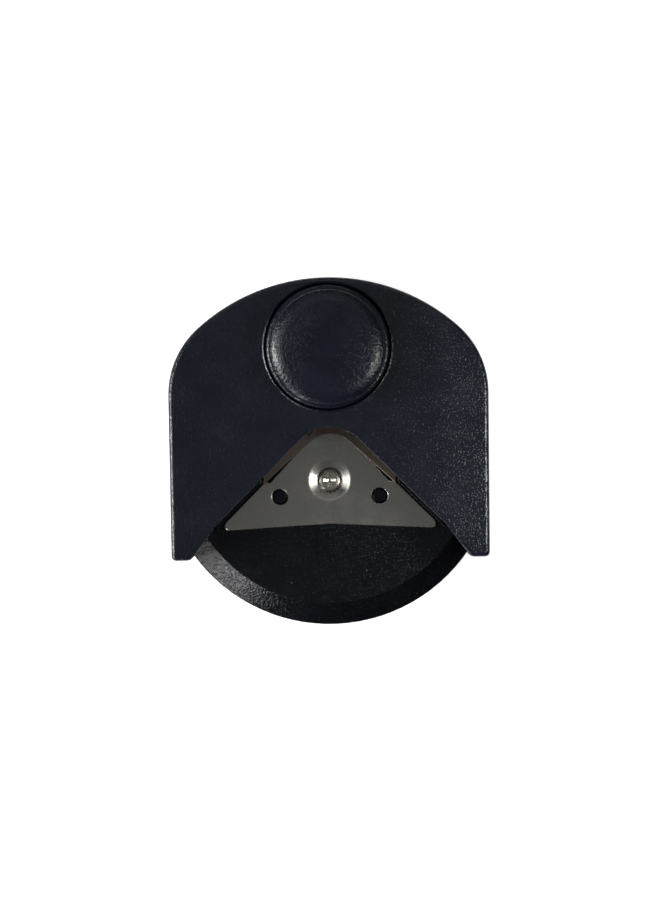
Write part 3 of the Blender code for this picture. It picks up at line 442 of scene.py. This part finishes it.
def add_piece(name, shape, body, finish, slot, *nodes, soft=()):
    """Turns a bmesh into a piece that rides on a body and stands for CAD nodes.

    Faces are shaded smoothly across all edges but the sharp ones, and across the soft ones."""
    for face in shape.faces:
        face.smooth = True
    for edge in sharp_edges(shape, BEVEL_STEP_DEG):
        edge.smooth = edge in soft
    mesh = bpy.data.meshes.new(name)
    shape.to_mesh(mesh)
    shape.free()
    mesh.materials.append(finish)
    piece = bpy.data.objects.new(name, mesh)
    bpy.context.scene.collection.objects.link(piece)
    piece.modifiers.new("flat faces", "WEIGHTED_NORMAL").keep_sharp = True
    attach(piece, body)
    if nodes:
        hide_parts(*nodes)
    print(f"{name}: {len(mesh.polygons)} faces")
    return piece


print("sharp from", SHARP_DEG, "degrees")

# %% [markdown]
# The bevel tool can throw a vertex far off a slanting face. Each vertex that it moves further
# than half the bevel's width is put back on the old surface, and none may leave the old box.


# %% Bevel helpers
def whole_faces(node):
    """A node's mesh as a bmesh, merged and with its flat triangles joined."""
    shape = bmesh.new()
    shape.from_mesh(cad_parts[node].data)
    bmesh.ops.remove_doubles(shape, verts=shape.verts, dist=MERGE)
    bmesh.ops.dissolve_limit(
        shape,
        angle_limit=math.radians(FLAT_DEG),
        verts=shape.verts,
        edges=shape.edges,
    )
    return shape


def round_edges(shape, edges, width, segments=3):
    """Bevels edges by a width in millimetres."""
    surface = BVHTree.FromBMesh(shape)
    columns = list(zip(*(vert.co for vert in shape.verts)))
    low, high = list(map(min, columns)), list(map(max, columns))
    bmesh.ops.bevel(
        shape,
        geom=edges,
        offset=width * MM,
        segments=segments,
        profile=0.5,
        affect="EDGES",
        clamp_overlap=False,
        material=-1,
    )
    for vert in shape.verts:
        spot, _, _, gap = surface.find_nearest(vert.co)
        if gap > 0.5 * width * MM:
            vert.co = spot
        vert.co = [min(max(part, a), b) for part, a, b in zip(vert.co, low, high)]


def rounded_copy(name, node, body, finish, slot, width, limit=SHARP_DEG):
    """A node's copy with its sharp edges bevelled, as a piece."""
    shape = whole_faces(node)
    round_edges(shape, sharp_edges(shape, limit), width)
    return add_piece(name, shape, body, finish, slot, node)


print("bevel helpers ready")

# %% [markdown]
# ## The cover
# The cover is the large black moulding with the well for the button and the V that guides the
# paper. The solid's V walls lean out a little for the mould. Seen from above, that leaning
# wall would mirror the steel below it as a pale band, so here the walls are stood upright,
# by the amount that each vertex leans, and the V's edge is made crisper towards its tip. The
# well has a narrow raised bead about it, which carries the fine bright ring beside the
# button. It is made from the solid's chamfer: its strip of faces gets more rings, and each ring
# is moved onto a curve, given as radius and height. The bead fades out towards the back, where
# the well meets the rounded edge of the cover.
#
# The first helpers measure how far a point lies behind the V's edge.

# %% Notch helpers
NOTCH_REACH = 6.8995
NOTCH_APEX_RADIUS = 7.0
NOTCH_END = Vector((19.4, -12.5))
EAR_TIP = Vector((23.5, -18.1))
notch_apex_y = NOTCH_REACH - NOTCH_APEX_RADIUS * math.sqrt(2)
apex_half = NOTCH_APEX_RADIUS / math.sqrt(2)


def behind_notch(x, y):
    """How far a point lies behind the V's edge line, and the direction that leads further."""
    if abs(x) < apex_half and y > notch_apex_y:
        spoke = Vector((x, y - notch_apex_y))
        return spoke.length - NOTCH_APEX_RADIUS, spoke.normalized()
    away = Vector((math.copysign(1, x), 1)).normalized()
    return (abs(x) + y - NOTCH_REACH) / math.sqrt(2), away


def behind_ear(x, y):
    """The same for the ear's inner edge, with the share of the way to the ear's tip."""
    reach = EAR_TIP - NOTCH_END
    along = reach.normalized()
    from_end = Vector((abs(x), y)) - NOTCH_END
    share = min(1.0, max(0.0, from_end.dot(along) / reach.length))
    away = Vector((math.copysign(along.y, x), along.x))
    return from_end.dot(Vector((-along.y, along.x))), away, share


print("V's tip arc reaches y", round(notch_apex_y + NOTCH_APEX_RADIUS, 3))

# %% [markdown]
# The next helper moves the V's walls and its upper edge. A vertex belongs to a wall when it
# lies as far from the edge line as the wall leans at its height.

# %% Upright walls
NOTCH_DRAFT = 0.5
COVER_LOW, COVER_EDGE_LOW, COVER_TOP = 8.3, 23.5, 24.2
CRISP_EDGE = 0.12
NEAR_WALL = 0.04
TINY = 0.01


def stand_upright(shape):
    """Moves the leaning V walls under their upper edge, and makes that edge crisper."""
    round_width = COVER_TOP - COVER_EDGE_LOW
    moved = 0
    for vert in shape.verts:
        x, y, z = vert.co / MM
        behind, away = behind_notch(x, y)
        if z < COVER_EDGE_LOW + TINY:
            lean = NOTCH_DRAFT * (COVER_EDGE_LOW - z) / (COVER_EDGE_LOW - COVER_LOW)
            if abs(behind + lean) > NEAR_WALL:
                continue
            if abs(x) > NOTCH_END.x:
                vert.co.xy = Vector((math.copysign(NOTCH_END.x, x), NOTCH_END.y)) * MM
            else:
                vert.co.xy -= away * behind * MM
            moved += 1
            continue
        crisp = CRISP_EDGE / round_width
        behind_side, side_away, share = behind_ear(x, y)
        if behind_side > behind:
            behind, away = behind_side, side_away
            crisp += (1 - crisp) * share
        if -TINY < behind < round_width + TINY:
            vert.co.xy += away * behind * (crisp - 1) * MM
            vert.co.z = (COVER_TOP - (COVER_TOP - z) * crisp) * MM
            moved += 1
    print("vertices of the V moved:", moved)


print("the V's walls lean by", NOTCH_DRAFT, "mm")

# %% [markdown]
# The bead is raised spoke by spoke: the chamfer's radial edges are cut into more rings, and
# then each ring takes its radius and height from the table.

# %% Bead about the well
BUTTON_CENTRE = (0, 17.5)
WELL_RADIUS = 10.7
WELL_CHAMFER = 0.35
WELL_ROOM = 0.1
BEAD = [(10.7, 23.85), (10.7, 24.12), (10.72, 24.27), (10.76, 24.34), (10.81, 24.355)]
BEAD += [(10.87, 24.335), (10.93, 24.3), (10.99, 24.255), (11.05, 24.2)]
BEAD_END_DEG = 50
BEAD_FADE_DEG = 18
ON_POINT = 0.02
SHARE_ROOM = 0.05


def at_well(vert):
    """True on the chamfer about the well."""
    x, y, z = vert.co / MM
    across = math.hypot(x - BUTTON_CENTRE[0], y - BUTTON_CENTRE[1])
    near = WELL_RADIUS - WELL_ROOM < across < WELL_RADIUS + 2 * WELL_CHAMFER
    return near and z > COVER_EDGE_LOW


def polar(vert):
    """Distance from the button's middle, height, and degrees from the back, in millimetres."""
    x, y, z = vert.co / MM
    spoke = Vector((x - BUTTON_CENTRE[0], y - BUTTON_CENTRE[1]))
    return spoke.length, z, abs(math.degrees(math.atan2(spoke.x, spoke.y)))


def is_spoke(edge):
    """True on an edge that runs straight up the chamfer, from its foot to its top."""
    ends = sorted(polar(vert) for vert in edge.verts)
    gaps = []
    for (across, height, _), point in zip(ends, (BEAD[0], BEAD[-1])):
        gaps += [abs(across - point[0]), abs(height - point[1])]
    return max(gaps) < ON_POINT


def raise_bead(shape):
    """Turns the well's chamfer into a raised bead that fades out towards the back."""
    spokes = [edge for edge in shape.edges if all(map(at_well, edge.verts)) and is_spoke(edge)]
    rings = len(BEAD) - 1
    bmesh.ops.subdivide_edges(shape, edges=spokes, cuts=rings - 1, use_grid_fill=True)
    middle = Vector(BUTTON_CENTRE) * MM
    moved = 0
    for vert in filter(at_well, shape.verts):
        across, height, from_back = polar(vert)
        share = (across - BEAD[0][0]) / (BEAD[-1][0] - BEAD[0][0])
        fade = min(1.0, max(0.0, (from_back - BEAD_END_DEG) / BEAD_FADE_DEG))
        chamfer_height = BEAD[0][1] + share * (BEAD[-1][1] - BEAD[0][1])
        on_chamfer = abs(height - chamfer_height) < ON_POINT
        if -SHARE_ROOM < share < 1 + SHARE_ROOM and on_chamfer and fade > 0:
            new_across, new_height = BEAD[min(rings, max(0, round(share * rings)))]
            stretch = 1 + fade * (new_across / across - 1)
            vert.co.xy = middle + (vert.co.xy - middle) * stretch
            vert.co.z += fade * (new_height - height) * MM
            moved += 1
    print("spokes of the bead:", len(spokes), "vertices:", moved)


print("bead rises by", round(max(height for _, height in BEAD) - COVER_TOP, 3), "mm")

# %% [markdown]
# All sharp edges get the narrow bevel but two kinds: the window's edges, which are too close
# to each other, and the bead, which is shaded smoothly.

# %% Cover
WINDOW_HALF, WINDOW_TOP = 3.9, 22.5
WINDOW_NEAR, WINDOW_FAR = 1, 5
COVER_SHARP_DEG = 35
COVER_BEVEL = 0.10


def at_window(vert):
    """True on the window that lets the blade through the V's tip."""
    x, y, z = vert.co / MM
    return abs(x) < WINDOW_HALF and z < WINDOW_TOP and WINDOW_NEAR < y < WINDOW_FAR


shape = whole_faces("top_cover")
stand_upright(shape)
raise_bead(shape)
edges = []
for edge in sharp_edges(shape, COVER_SHARP_DEG):
    if not all(map(at_window, edge.verts)) and not all(map(at_well, edge.verts)):
        edges.append(edge)
round_edges(shape, edges, COVER_BEVEL)
well_rim = {edge for edge in shape.edges if all(map(at_well, edge.verts))}
print("edges of the well's rim:", len(well_rim))
add_piece(
    "cover_moulding",
    shape,
    "housing",
    cover_plastic,
    "cover_plastic",
    "top_cover",
    soft=well_rim,
)

# %% [markdown]
# ## The base and the tray
# The base shows its round front, the paper table with its sloped rim, and two ridges that
# stop the paper beside the plate. Its edges and the tray's get the same fine round.

# %% Base and tray
FENCE_END_X = 19.2
FENCE_TOP = 13.35
FENCE_END_ROUND = 0.45
BASE_BEVEL = 0.10
TRAY_BEVEL = 0.12


def at_fence_end(vert):
    """True on the upper edge of a ridge's outer end."""
    off_end = abs(abs(vert.co.x / MM) - FENCE_END_X)
    return off_end < ON_POINT and abs(vert.co.z / MM - FENCE_TOP) < ON_POINT


shape = whole_faces("base_shell")
fence_ends = [edge for edge in sharp_edges(shape) if all(map(at_fence_end, edge.verts))]
print("fence ends:", len(fence_ends))
round_edges(shape, fence_ends, FENCE_END_ROUND, 4)
round_edges(shape, sharp_edges(shape), BASE_BEVEL)
add_piece("base_moulding", shape, "housing", base_plastic, "base_plastic", "base_shell")
rounded_copy("tray_moulding", "chip_tray", "tray", tray_plastic, "tray_plastic", TRAY_BEVEL)

# %% [markdown]
# ## The button
# The button is a hollow dome on a flange. Half of its section is drawn once and spun about
# the middle, which gives a clean round shape with even quads. The crown runs without a kink
# into a wide arc at the shoulder, because that arc decides how wide the crescent of light is,
# and a small arc leads on into the wall. Two helpers draw arcs and spin a section.


# %% Section helpers
def arc(centre, radius, start, end, steps):
    """Points (radius, height) on an arc of a section, angles in radians above the level."""
    points = []
    for step in range(steps + 1):
        angle = start + (end - start) * step / steps
        across = centre[0] + radius * math.cos(angle)
        points.append((across, centre[1] + radius * math.sin(angle)))
    return points


def spun(section, centre, steps):
    """A closed body of revolution from half of its section, on the Z axis of centre."""
    shape = bmesh.new()
    verts = [shape.verts.new((across * MM, 0, height * MM)) for across, height in section]
    edges = [shape.edges.new(pair) for pair in zip(verts, verts[1:])]
    bmesh.ops.spin(
        shape,
        geom=verts + edges,
        cent=(0, 0, 0),
        axis=(0, 0, 1),
        angle=math.tau,
        steps=steps,
        use_merge=True,
    )
    bmesh.ops.remove_doubles(shape, verts=shape.verts, dist=MERGE)
    bmesh.ops.recalc_face_normals(shape, faces=shape.faces)
    bmesh.ops.translate(shape, verts=shape.verts, vec=Vector((*centre, 0)) * MM)
    return shape


print("section helpers ready")

# %% [markdown]
# The section runs from the middle of the crown over the shoulder, down the wall to the
# flange, and back along the inside to the boss that takes the screw. Below the cover's top
# the skirt is a little wider than the flange, so no light shines up through the gap.

# %% Button
BUTTON_RADIUS = 9.6
CROWN_RADIUS = 7.45
CROWN_RISE = 0.55
SHOULDER_ARC = 4.4
SHOULDER_CORNER = 0.25
BUTTON_TOP = 30.0
FLANGE_RADIUS = 10.4
FLANGE_TOP = 25.0
FLANGE_ROUND = 0.66
SKIRT_LOW = 20.85
SKIRT_RADIUS = 10.62
SKIRT_CHAMFER = 0.15
NECK = 0.12
BUTTON_STEPS = 96
CROWN_STEPS, SHOULDER_STEPS, CORNER_STEPS, FLANGE_STEPS = 8, 12, 4, 6
UPRIGHT = math.pi / 2

crown = []
for step in range(CROWN_STEPS):
    share = step / CROWN_STEPS
    crown.append((CROWN_RADIUS * share, BUTTON_TOP - CROWN_RISE * share**2))
crown_tilt = math.atan(2 * CROWN_RISE / CROWN_RADIUS)
across = CROWN_RADIUS - SHOULDER_ARC * math.sin(crown_tilt)
shoulder_centre = (across, BUTTON_TOP - CROWN_RISE - SHOULDER_ARC * math.cos(crown_tilt))
corner_across = BUTTON_RADIUS - SHOULDER_CORNER
end_tilt = math.asin((corner_across - across) / (SHOULDER_ARC - SHOULDER_CORNER))
shoulder_start, shoulder_end = UPRIGHT - crown_tilt, UPRIGHT - end_tilt
shoulder = arc(shoulder_centre, SHOULDER_ARC, shoulder_start, shoulder_end, SHOULDER_STEPS)
corner_rise = (SHOULDER_ARC - SHOULDER_CORNER) * math.cos(end_tilt)
corner_centre = (corner_across, shoulder_centre[1] + corner_rise)
corner = arc(corner_centre, SHOULDER_CORNER, shoulder_end, 0, CORNER_STEPS)
flange_centre = (FLANGE_RADIUS - FLANGE_ROUND, FLANGE_TOP - FLANGE_ROUND)
neck = [(BUTTON_RADIUS, FLANGE_TOP + NECK), (BUTTON_RADIUS + NECK, FLANGE_TOP)]
flange = arc(flange_centre, FLANGE_ROUND, UPRIGHT, 0, FLANGE_STEPS)
inside = [
    (FLANGE_RADIUS, 23.9),
    (SKIRT_RADIUS, 23.4),
    (SKIRT_RADIUS, SKIRT_LOW + SKIRT_CHAMFER),
    (SKIRT_RADIUS - SKIRT_CHAMFER, SKIRT_LOW),
    (8.9, SKIRT_LOW),
    (8.1, 23.5),
    (8.1, 25.2),
    (6.6, 27.4),
    (3.0, 27.4),
    (3.0, SKIRT_LOW),
    (1.25, SKIRT_LOW),
    (1.25, 26.4),
    (0, 26.4),
]
print(f"shoulder ends at {math.degrees(end_tilt):.0f} degrees")
section = crown + shoulder + corner[1:] + neck + flange + inside
shape = spun(section, BUTTON_CENTRE, BUTTON_STEPS)
add_piece("button_moulding", shape, "press", button_plastic, "button_plastic", "push_button")

# %% [markdown]
# ## The die plate
# The plate is stamped from thin sheet, and its dimple is pressed down as a soft bowl. In the
# solid the dimple's wall is one straight cone. Here the cone gets more rings, and each ring is
# moved onto a curve, given as radius and depth, that leaves the flat sheet without an edge
# and runs down at about twenty degrees. So the light makes a broad crescent on either side of
# the screw.

# %% Dimple
DIMPLE_CENTRE = (0, -4.9005)
DIMPLE_RADIUS = 3.4
DIMPLE_FLOOR_RADIUS = 2.22
PLATE_TOP = 11.25
DIMPLE_DEPTH = 0.75
BOWL = [(1.84, 0.75), (1.95, 0.64), (2.1, 0.545), (2.34, 0.46), (2.62, 0.355), (2.9, 0.25)]
BOWL += [(3.15, 0.155), (3.35, 0.085), (3.5, 0.04), (3.65, 0.012), (3.8, 0)]
ON_RING = 0.03


def ring_edges(shape, centre, radius, height):
    """The edges of one round edge, found by its place in millimetres."""
    found = []
    for edge in shape.edges:
        gaps = []
        for vert in edge.verts:
            x, y, z = vert.co / MM
            off_ring = abs(math.hypot(x - centre[0], y - centre[1]) - radius)
            gaps += [off_ring, abs(z - height)]
        if max(gaps) < ON_RING:
            found.append(edge)
    return found


shape = whole_faces("die_plate")
mouth = ring_edges(shape, DIMPLE_CENTRE, DIMPLE_RADIUS, PLATE_TOP)
floor_ring = ring_edges(shape, DIMPLE_CENTRE, DIMPLE_FLOOR_RADIUS, PLATE_TOP - DIMPLE_DEPTH)
mouth_verts = {vert for edge in mouth for vert in edge.verts}
floor_verts = {vert for edge in floor_ring for vert in edge.verts}
spokes = []
for vert in floor_verts:
    spokes += [edge for edge in vert.link_edges if edge.other_vert(vert) in mouth_verts]
rings = len(BOWL) - 1
bmesh.ops.subdivide_edges(shape, edges=spokes, cuts=rings - 1, use_grid_fill=True)
middle = Vector(DIMPLE_CENTRE)
bowl_size = 0
for vert in shape.verts:
    spoke = vert.co.xy / MM - middle
    share = (spoke.length - DIMPLE_FLOOR_RADIUS) / (DIMPLE_RADIUS - DIMPLE_FLOOR_RADIUS)
    depth = PLATE_TOP - vert.co.z / MM
    if -TINY < share < 1 + TINY and abs(depth - DIMPLE_DEPTH * (1 - share)) < TINY:
        reach, depth = BOWL[round(share * rings)]
        vert.co.xy = (middle + spoke.normalized() * reach) * MM
        vert.co.z = (PLATE_TOP - depth) * MM
        bowl_size += 1
print("vertices of the bowl:", bowl_size)

# %% [markdown]
# The plate's outline gets a wider bevel than the other pieces, because stamping rolls the
# edge of a sheet over. The limit of fifty degrees leaves the bowl's rings alone.

# %% Die plate
PLATE_SHARP_DEG = 50
PLATE_ROLL = 0.15

round_edges(shape, sharp_edges(shape, PLATE_SHARP_DEG), PLATE_ROLL)
add_piece("die_plate_stamping", shape, "housing", plate_steel, "plate_steel", "die_plate")

# %% [markdown]
# ## The die screw
# A small pan-head screw holds the plate down in its dimple. Its head and shank are spun.

# %% Screw blank
SCREW_SEAT = 10.575
SCREW_HEAD_RADIUS = 1.78
SCREW_EDGE = 0.42
SCREW_CROWN = 0.20
SCREW_RIM, SCREW_RIM_DROP, SCREW_RIM_DEG = 0.15, 0.1, 66
SCREW_SHANK_RADIUS = 1.1
SCREW_LENGTH = 3.6
SCREW_STEPS = 48
HEAD_STEPS = 8

edge_top = SCREW_SEAT + SCREW_EDGE
head_top = edge_top + SCREW_CROWN
head = [(0, head_top)]
for step in range(1, HEAD_STEPS):
    share = step / HEAD_STEPS
    head.append((SCREW_HEAD_RADIUS * share, edge_top + SCREW_CROWN * (1 - share**3)))
rim_centre = (SCREW_HEAD_RADIUS - SCREW_RIM, edge_top - SCREW_RIM_DROP)
rim = arc(rim_centre, SCREW_RIM, math.radians(SCREW_RIM_DEG), 0, 4)
shank = [
    (SCREW_HEAD_RADIUS, SCREW_SEAT),
    (SCREW_SHANK_RADIUS, SCREW_SEAT),
    (SCREW_SHANK_RADIUS, SCREW_SEAT - SCREW_LENGTH + SCREW_SHANK_RADIUS),
    (0, SCREW_SEAT - SCREW_LENGTH),
]


def object_of(name, shape):
    """A plain object from a bmesh, for the Boolean modifier to work on."""
    mesh = bpy.data.meshes.new(name)
    shape.to_mesh(mesh)
    shape.free()
    made = bpy.data.objects.new(name, mesh)
    bpy.context.scene.collection.objects.link(made)
    return made


blank = object_of("screw blank", spun(head + rim + shank, DIMPLE_CENTRE, SCREW_STEPS))
print("faces of the blank:", len(blank.data.polygons))

# %% [markdown]
# The cross recess is cut by two bars that taper downwards, most of all at their ends. A
# Boolean modifier does the cutting: the bars' long slanted ends become the ramps that lead
# down each arm of the cross, and these throw the light back as short bright strokes. The
# recess's rim is rounded a little, as a punched recess is.

# %% Cross recess
RECESS_LENGTH, RECESS_LOW_LENGTH = 2.5, 0.3
RECESS_WIDTH, RECESS_LOW_WIDTH = 0.48, 0.34
RECESS_DEPTH = 0.42
RECESS_ROUND = 0.08
RECESS_REACH = 0.8 * SCREW_HEAD_RADIUS
RECESS_SHARP_DEG = 15
ABOVE_EDGE = 0.05


def on_crown(vert):
    """True on the recess's rim or inside it, near the top of the head."""
    x, y, z = vert.co / MM
    return math.hypot(x, y - DIMPLE_CENTRE[1]) < RECESS_REACH and z > edge_top + ABOVE_EDGE


cutters = []
for turn in (0, 90):
    bar = bmesh.new()
    bmesh.ops.create_cube(bar, size=1)
    for vert in bar.verts:
        low = vert.co.z < 0
        length = RECESS_LOW_LENGTH if low else RECESS_LENGTH
        width = RECESS_LOW_WIDTH if low else RECESS_WIDTH
        height = head_top - RECESS_DEPTH if low else head_top
        vert.co = Vector((vert.co.x * length, vert.co.y * width, height)) * MM
    matrix = Matrix.Rotation(math.radians(turn), 4, "Z")
    bmesh.ops.transform(bar, matrix=matrix, verts=bar.verts)
    bmesh.ops.translate(bar, verts=bar.verts, vec=Vector((*DIMPLE_CENTRE, 0)) * MM)
    cutter = object_of("recess bar", bar)
    cutters.append(cutter)
    cut = blank.modifiers.new("recess", "BOOLEAN")
    cut.operation = "DIFFERENCE"
    cut.solver = "EXACT"
    cut.object = cutter
shape = bmesh.new()
shape.from_object(blank, bpy.context.evaluated_depsgraph_get())
for made in [blank] + cutters:
    bpy.data.objects.remove(made)
bmesh.ops.remove_doubles(shape, verts=shape.verts, dist=MERGE)
sharp = sharp_edges(shape, RECESS_SHARP_DEG)
rim_edges = [edge for edge in sharp if all(map(on_crown, edge.verts))]
print("edges of the recess's rim:", len(rim_edges))
round_edges(shape, rim_edges, RECESS_ROUND)
add_piece("die_screw_turning", shape, "housing", screw_steel, "screw_steel", "die_screw")

# %% [markdown]
# ## Inner pieces and fasteners
# The blade, its pin, the carrier, the spacer and the screws are seen through the gaps or when
# the tool is opened. They get the same narrow bevel and their own metal or plastic. On the
# turned pieces a higher limit keeps the facets of their round walls out of the bevel.

# %% Inner pieces
TURNED_DEG = 33


def turned(name, node, body, width, finish=screw_steel, slot="screw_steel"):
    """A rounded copy with the higher limit, a screw unless a finish is given."""
    rounded_copy(name, node, body, finish, slot, width, TURNED_DEG)


rounded_copy("spacer_stamping", "spacer_plate", "housing", plate_steel, "plate_steel", 0.06)
# The stripper's lip takes the steel with painted shade.
rounded_copy("stripper_stamping", "stripper_plate", "housing", lip_steel_painted_shade, "plate_steel", 0.16)
turned("blade_grinding", "punch_blade", "press", 0.04, blade_steel, "blade_steel")
rounded_copy("carrier_moulding", "punch_carrier", "press", carrier_plastic, "carrier_plastic", 0.1)
turned("blade_pin_turning", "blade_pin", "press", 0.1, blade_steel, "blade_steel")
turned("button_screw_turning", "button_screw", "press", 0.05)
for side in ("left", "right"):
    for kind in ("guide_screw", "housing_screw_front", "housing_screw_back"):
        node = f"{kind}_{side}"
        turned(f"{node}_turning", node, "housing", 0.05)
    node = f"guide_pin_{side}"
    turned(f"{node}_turning", node, "housing", 0.15, blade_steel, "blade_steel")

# %% [markdown]
# ## The return springs
# The two coils stand on the deck and carry the slide. In the real tool they get shorter when the
# button goes down.
# Here each coil is copied from its solid with its doubled points merged, and gets a mesh of its
# own.

for side in ("left", "right"):
    node = f"return_spring_{side}"
    shape = bmesh.new()
    shape.from_mesh(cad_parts[node].data)
    bmesh.ops.remove_doubles(shape, verts=shape.verts, dist=MERGE)
    coil = add_piece(f"{node}_coil", shape, "housing", spring_steel, "spring_steel", node)
    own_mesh(coil)

# %% [markdown]
# ## Floor and light
# The tool lies on a white sheet. The sheet's own colour carries the white, with a little of
# its own light for the camera and for reflections, so it stays white where the soft boxes
# fall off and still takes the tool's shadow.

# %% Floor
FLOOR_HALF = 6.0
FLOOR_GAP = 0.02 * MM
SHEET_COLOUR = (0.86, 0.86, 0.855, 1)
SHEET_ROUGHNESS = 0.9
GLOW_COLOUR = (1, 1, 0.985, 1)
GLOW_MIRRORED, GLOW_SEEN = 0.15, 0.72

floor_mesh = bpy.data.meshes.new("floor")
shape = bmesh.new()
level = Matrix.Translation((0, 0, -FLOOR_GAP))
bmesh.ops.create_grid(shape, x_segments=1, y_segments=1, size=FLOOR_HALF, matrix=level)
shape.to_mesh(floor_mesh)
shape.free()
floor = bpy.data.objects.new("floor", floor_mesh)
bpy.context.scene.collection.objects.link(floor)
paper = bpy.data.materials.new("white sheet")
paper.use_nodes = True
g = Graph(paper.node_tree)
shader = paper.node_tree.nodes["Principled BSDF"]
shader.inputs["Base Color"].default_value = SHEET_COLOUR
shader.inputs["Roughness"].default_value = SHEET_ROUGHNESS
path = g.add("ShaderNodeLightPath")
mirrored = g.math("MAXIMUM", path.outputs["Is Glossy Ray"], path.outputs["Is Transmission Ray"])
mirrored = g.math("MULTIPLY", mirrored, GLOW_MIRRORED)
seen = g.math("MULTIPLY", path.outputs["Is Camera Ray"], GLOW_SEEN)
glow = g.add("ShaderNodeEmission", {"Color": GLOW_COLOUR})
g.tree.links.new(g.math("MAXIMUM", mirrored, seen), glow.inputs["Strength"])
both = g.add("ShaderNodeAddShader", {0: shader.outputs[0], 1: glow.outputs[0]})
g.tree.links.new(both.outputs[0], paper.node_tree.nodes["Material Output"].inputs["Surface"])
floor_mesh.materials.append(paper)
print("floor:", 2 * FLOOR_HALF, "m")

# %% [markdown]
# Two soft boxes on the left draw the crescent on the button and the bright right arc of the
# dimple. A small lamp stands close to the rim at the front left: because it is near, it shines
# on the rim at the mirror angle but reaches the button too low to show there. Another near
# lamp at the right draws the dimple's left arc and makes the grain glint on that side, and a
# wide dim one lifts the back. Sizes and distances are in metres, and powers in watts.

# %% Lamps
WHITE = (1.0, 1.0, 1.0)
WARM_WHITE = (1.0, 0.99, 0.97)


def soft_box(name, azimuth, elevation, distance, width, height, power, colour):
    """A rectangular lamp that faces the tool. Azimuth turns from +X towards +Y, in degrees."""
    data = bpy.data.lights.new(name, "AREA")
    data.shape = "RECTANGLE"
    data.size = width
    data.size_y = height
    data.energy = power
    data.color = colour
    lamp = bpy.data.objects.new(name, data)
    turn, rise = math.radians(azimuth), math.radians(elevation)
    flat = math.cos(rise)
    away = Vector((math.cos(turn) * flat, math.sin(turn) * flat, math.sin(rise)))
    lamp.location = away * distance
    lamp.rotation_mode = "QUATERNION"
    lamp.rotation_quaternion = away.to_track_quat("Z", "Y")
    lamp.visible_camera = False
    bpy.context.scene.collection.objects.link(lamp)


# Name, azimuth, elevation, distance, width, height, power and colour.
LAMPS = [
    ("left box", 188, 27, 0.9, 0.50, 0.15, 9.0, WHITE),
    ("left high box", 178, 51, 0.9, 0.42, 0.30, 1.5, WHITE),
    ("rim box", 229.9, 23.7, 0.0884, 0.024, 0.022, 0.022, WHITE),
    ("right box", 355, 54, 0.118, 0.032, 0.030, 0.047, WARM_WHITE),
    ("back box", 90, 45, 0.9, 0.90, 0.50, 0.63, WHITE),
]
for lamp_facts in LAMPS:
    soft_box(*lamp_facts)
print("lamps:", len(bpy.data.lights))

# %% [markdown]
# The room itself is dim at eye level and lighter overhead, which is what the flat steel plate
# mirrors. The camera sees it as white, so the sheet has no visible end.

# %% Room
WALL_GLOW, CEILING_GLOW = 0.03, 0.165
CEILING_FROM, CEILING_FULL = 0.45, 0.85

world = bpy.data.worlds.new("studio")
world.use_nodes = True
g = Graph(world.node_tree)
upward = g.add("ShaderNodeSeparateXYZ", {"Vector": g.add("ShaderNodeTexCoord").outputs[0]})
ceiling = g.add(
    "ShaderNodeMapRange",
    {
        "Value": upward.outputs["Z"],
        "From Min": CEILING_FROM,
        "From Max": CEILING_FULL,
        "To Min": WALL_GLOW,
        "To Max": CEILING_GLOW,
    },
    interpolation_type="SMOOTHSTEP",
)
path = g.add("ShaderNodeLightPath")
camera_ray = path.outputs["Is Camera Ray"]
dim = g.math("MULTIPLY", ceiling.outputs[0], g.math("SUBTRACT", 1.0, camera_ray))
room = world.node_tree.nodes["Background"]
room.inputs["Color"].default_value = (*WHITE, 1)
g.tree.links.new(g.math("ADD", dim, camera_ray), room.inputs["Strength"])
bpy.context.scene.world = world
bpy.context.scene.view_settings.view_transform = "Standard"
print("ceiling:", CEILING_GLOW)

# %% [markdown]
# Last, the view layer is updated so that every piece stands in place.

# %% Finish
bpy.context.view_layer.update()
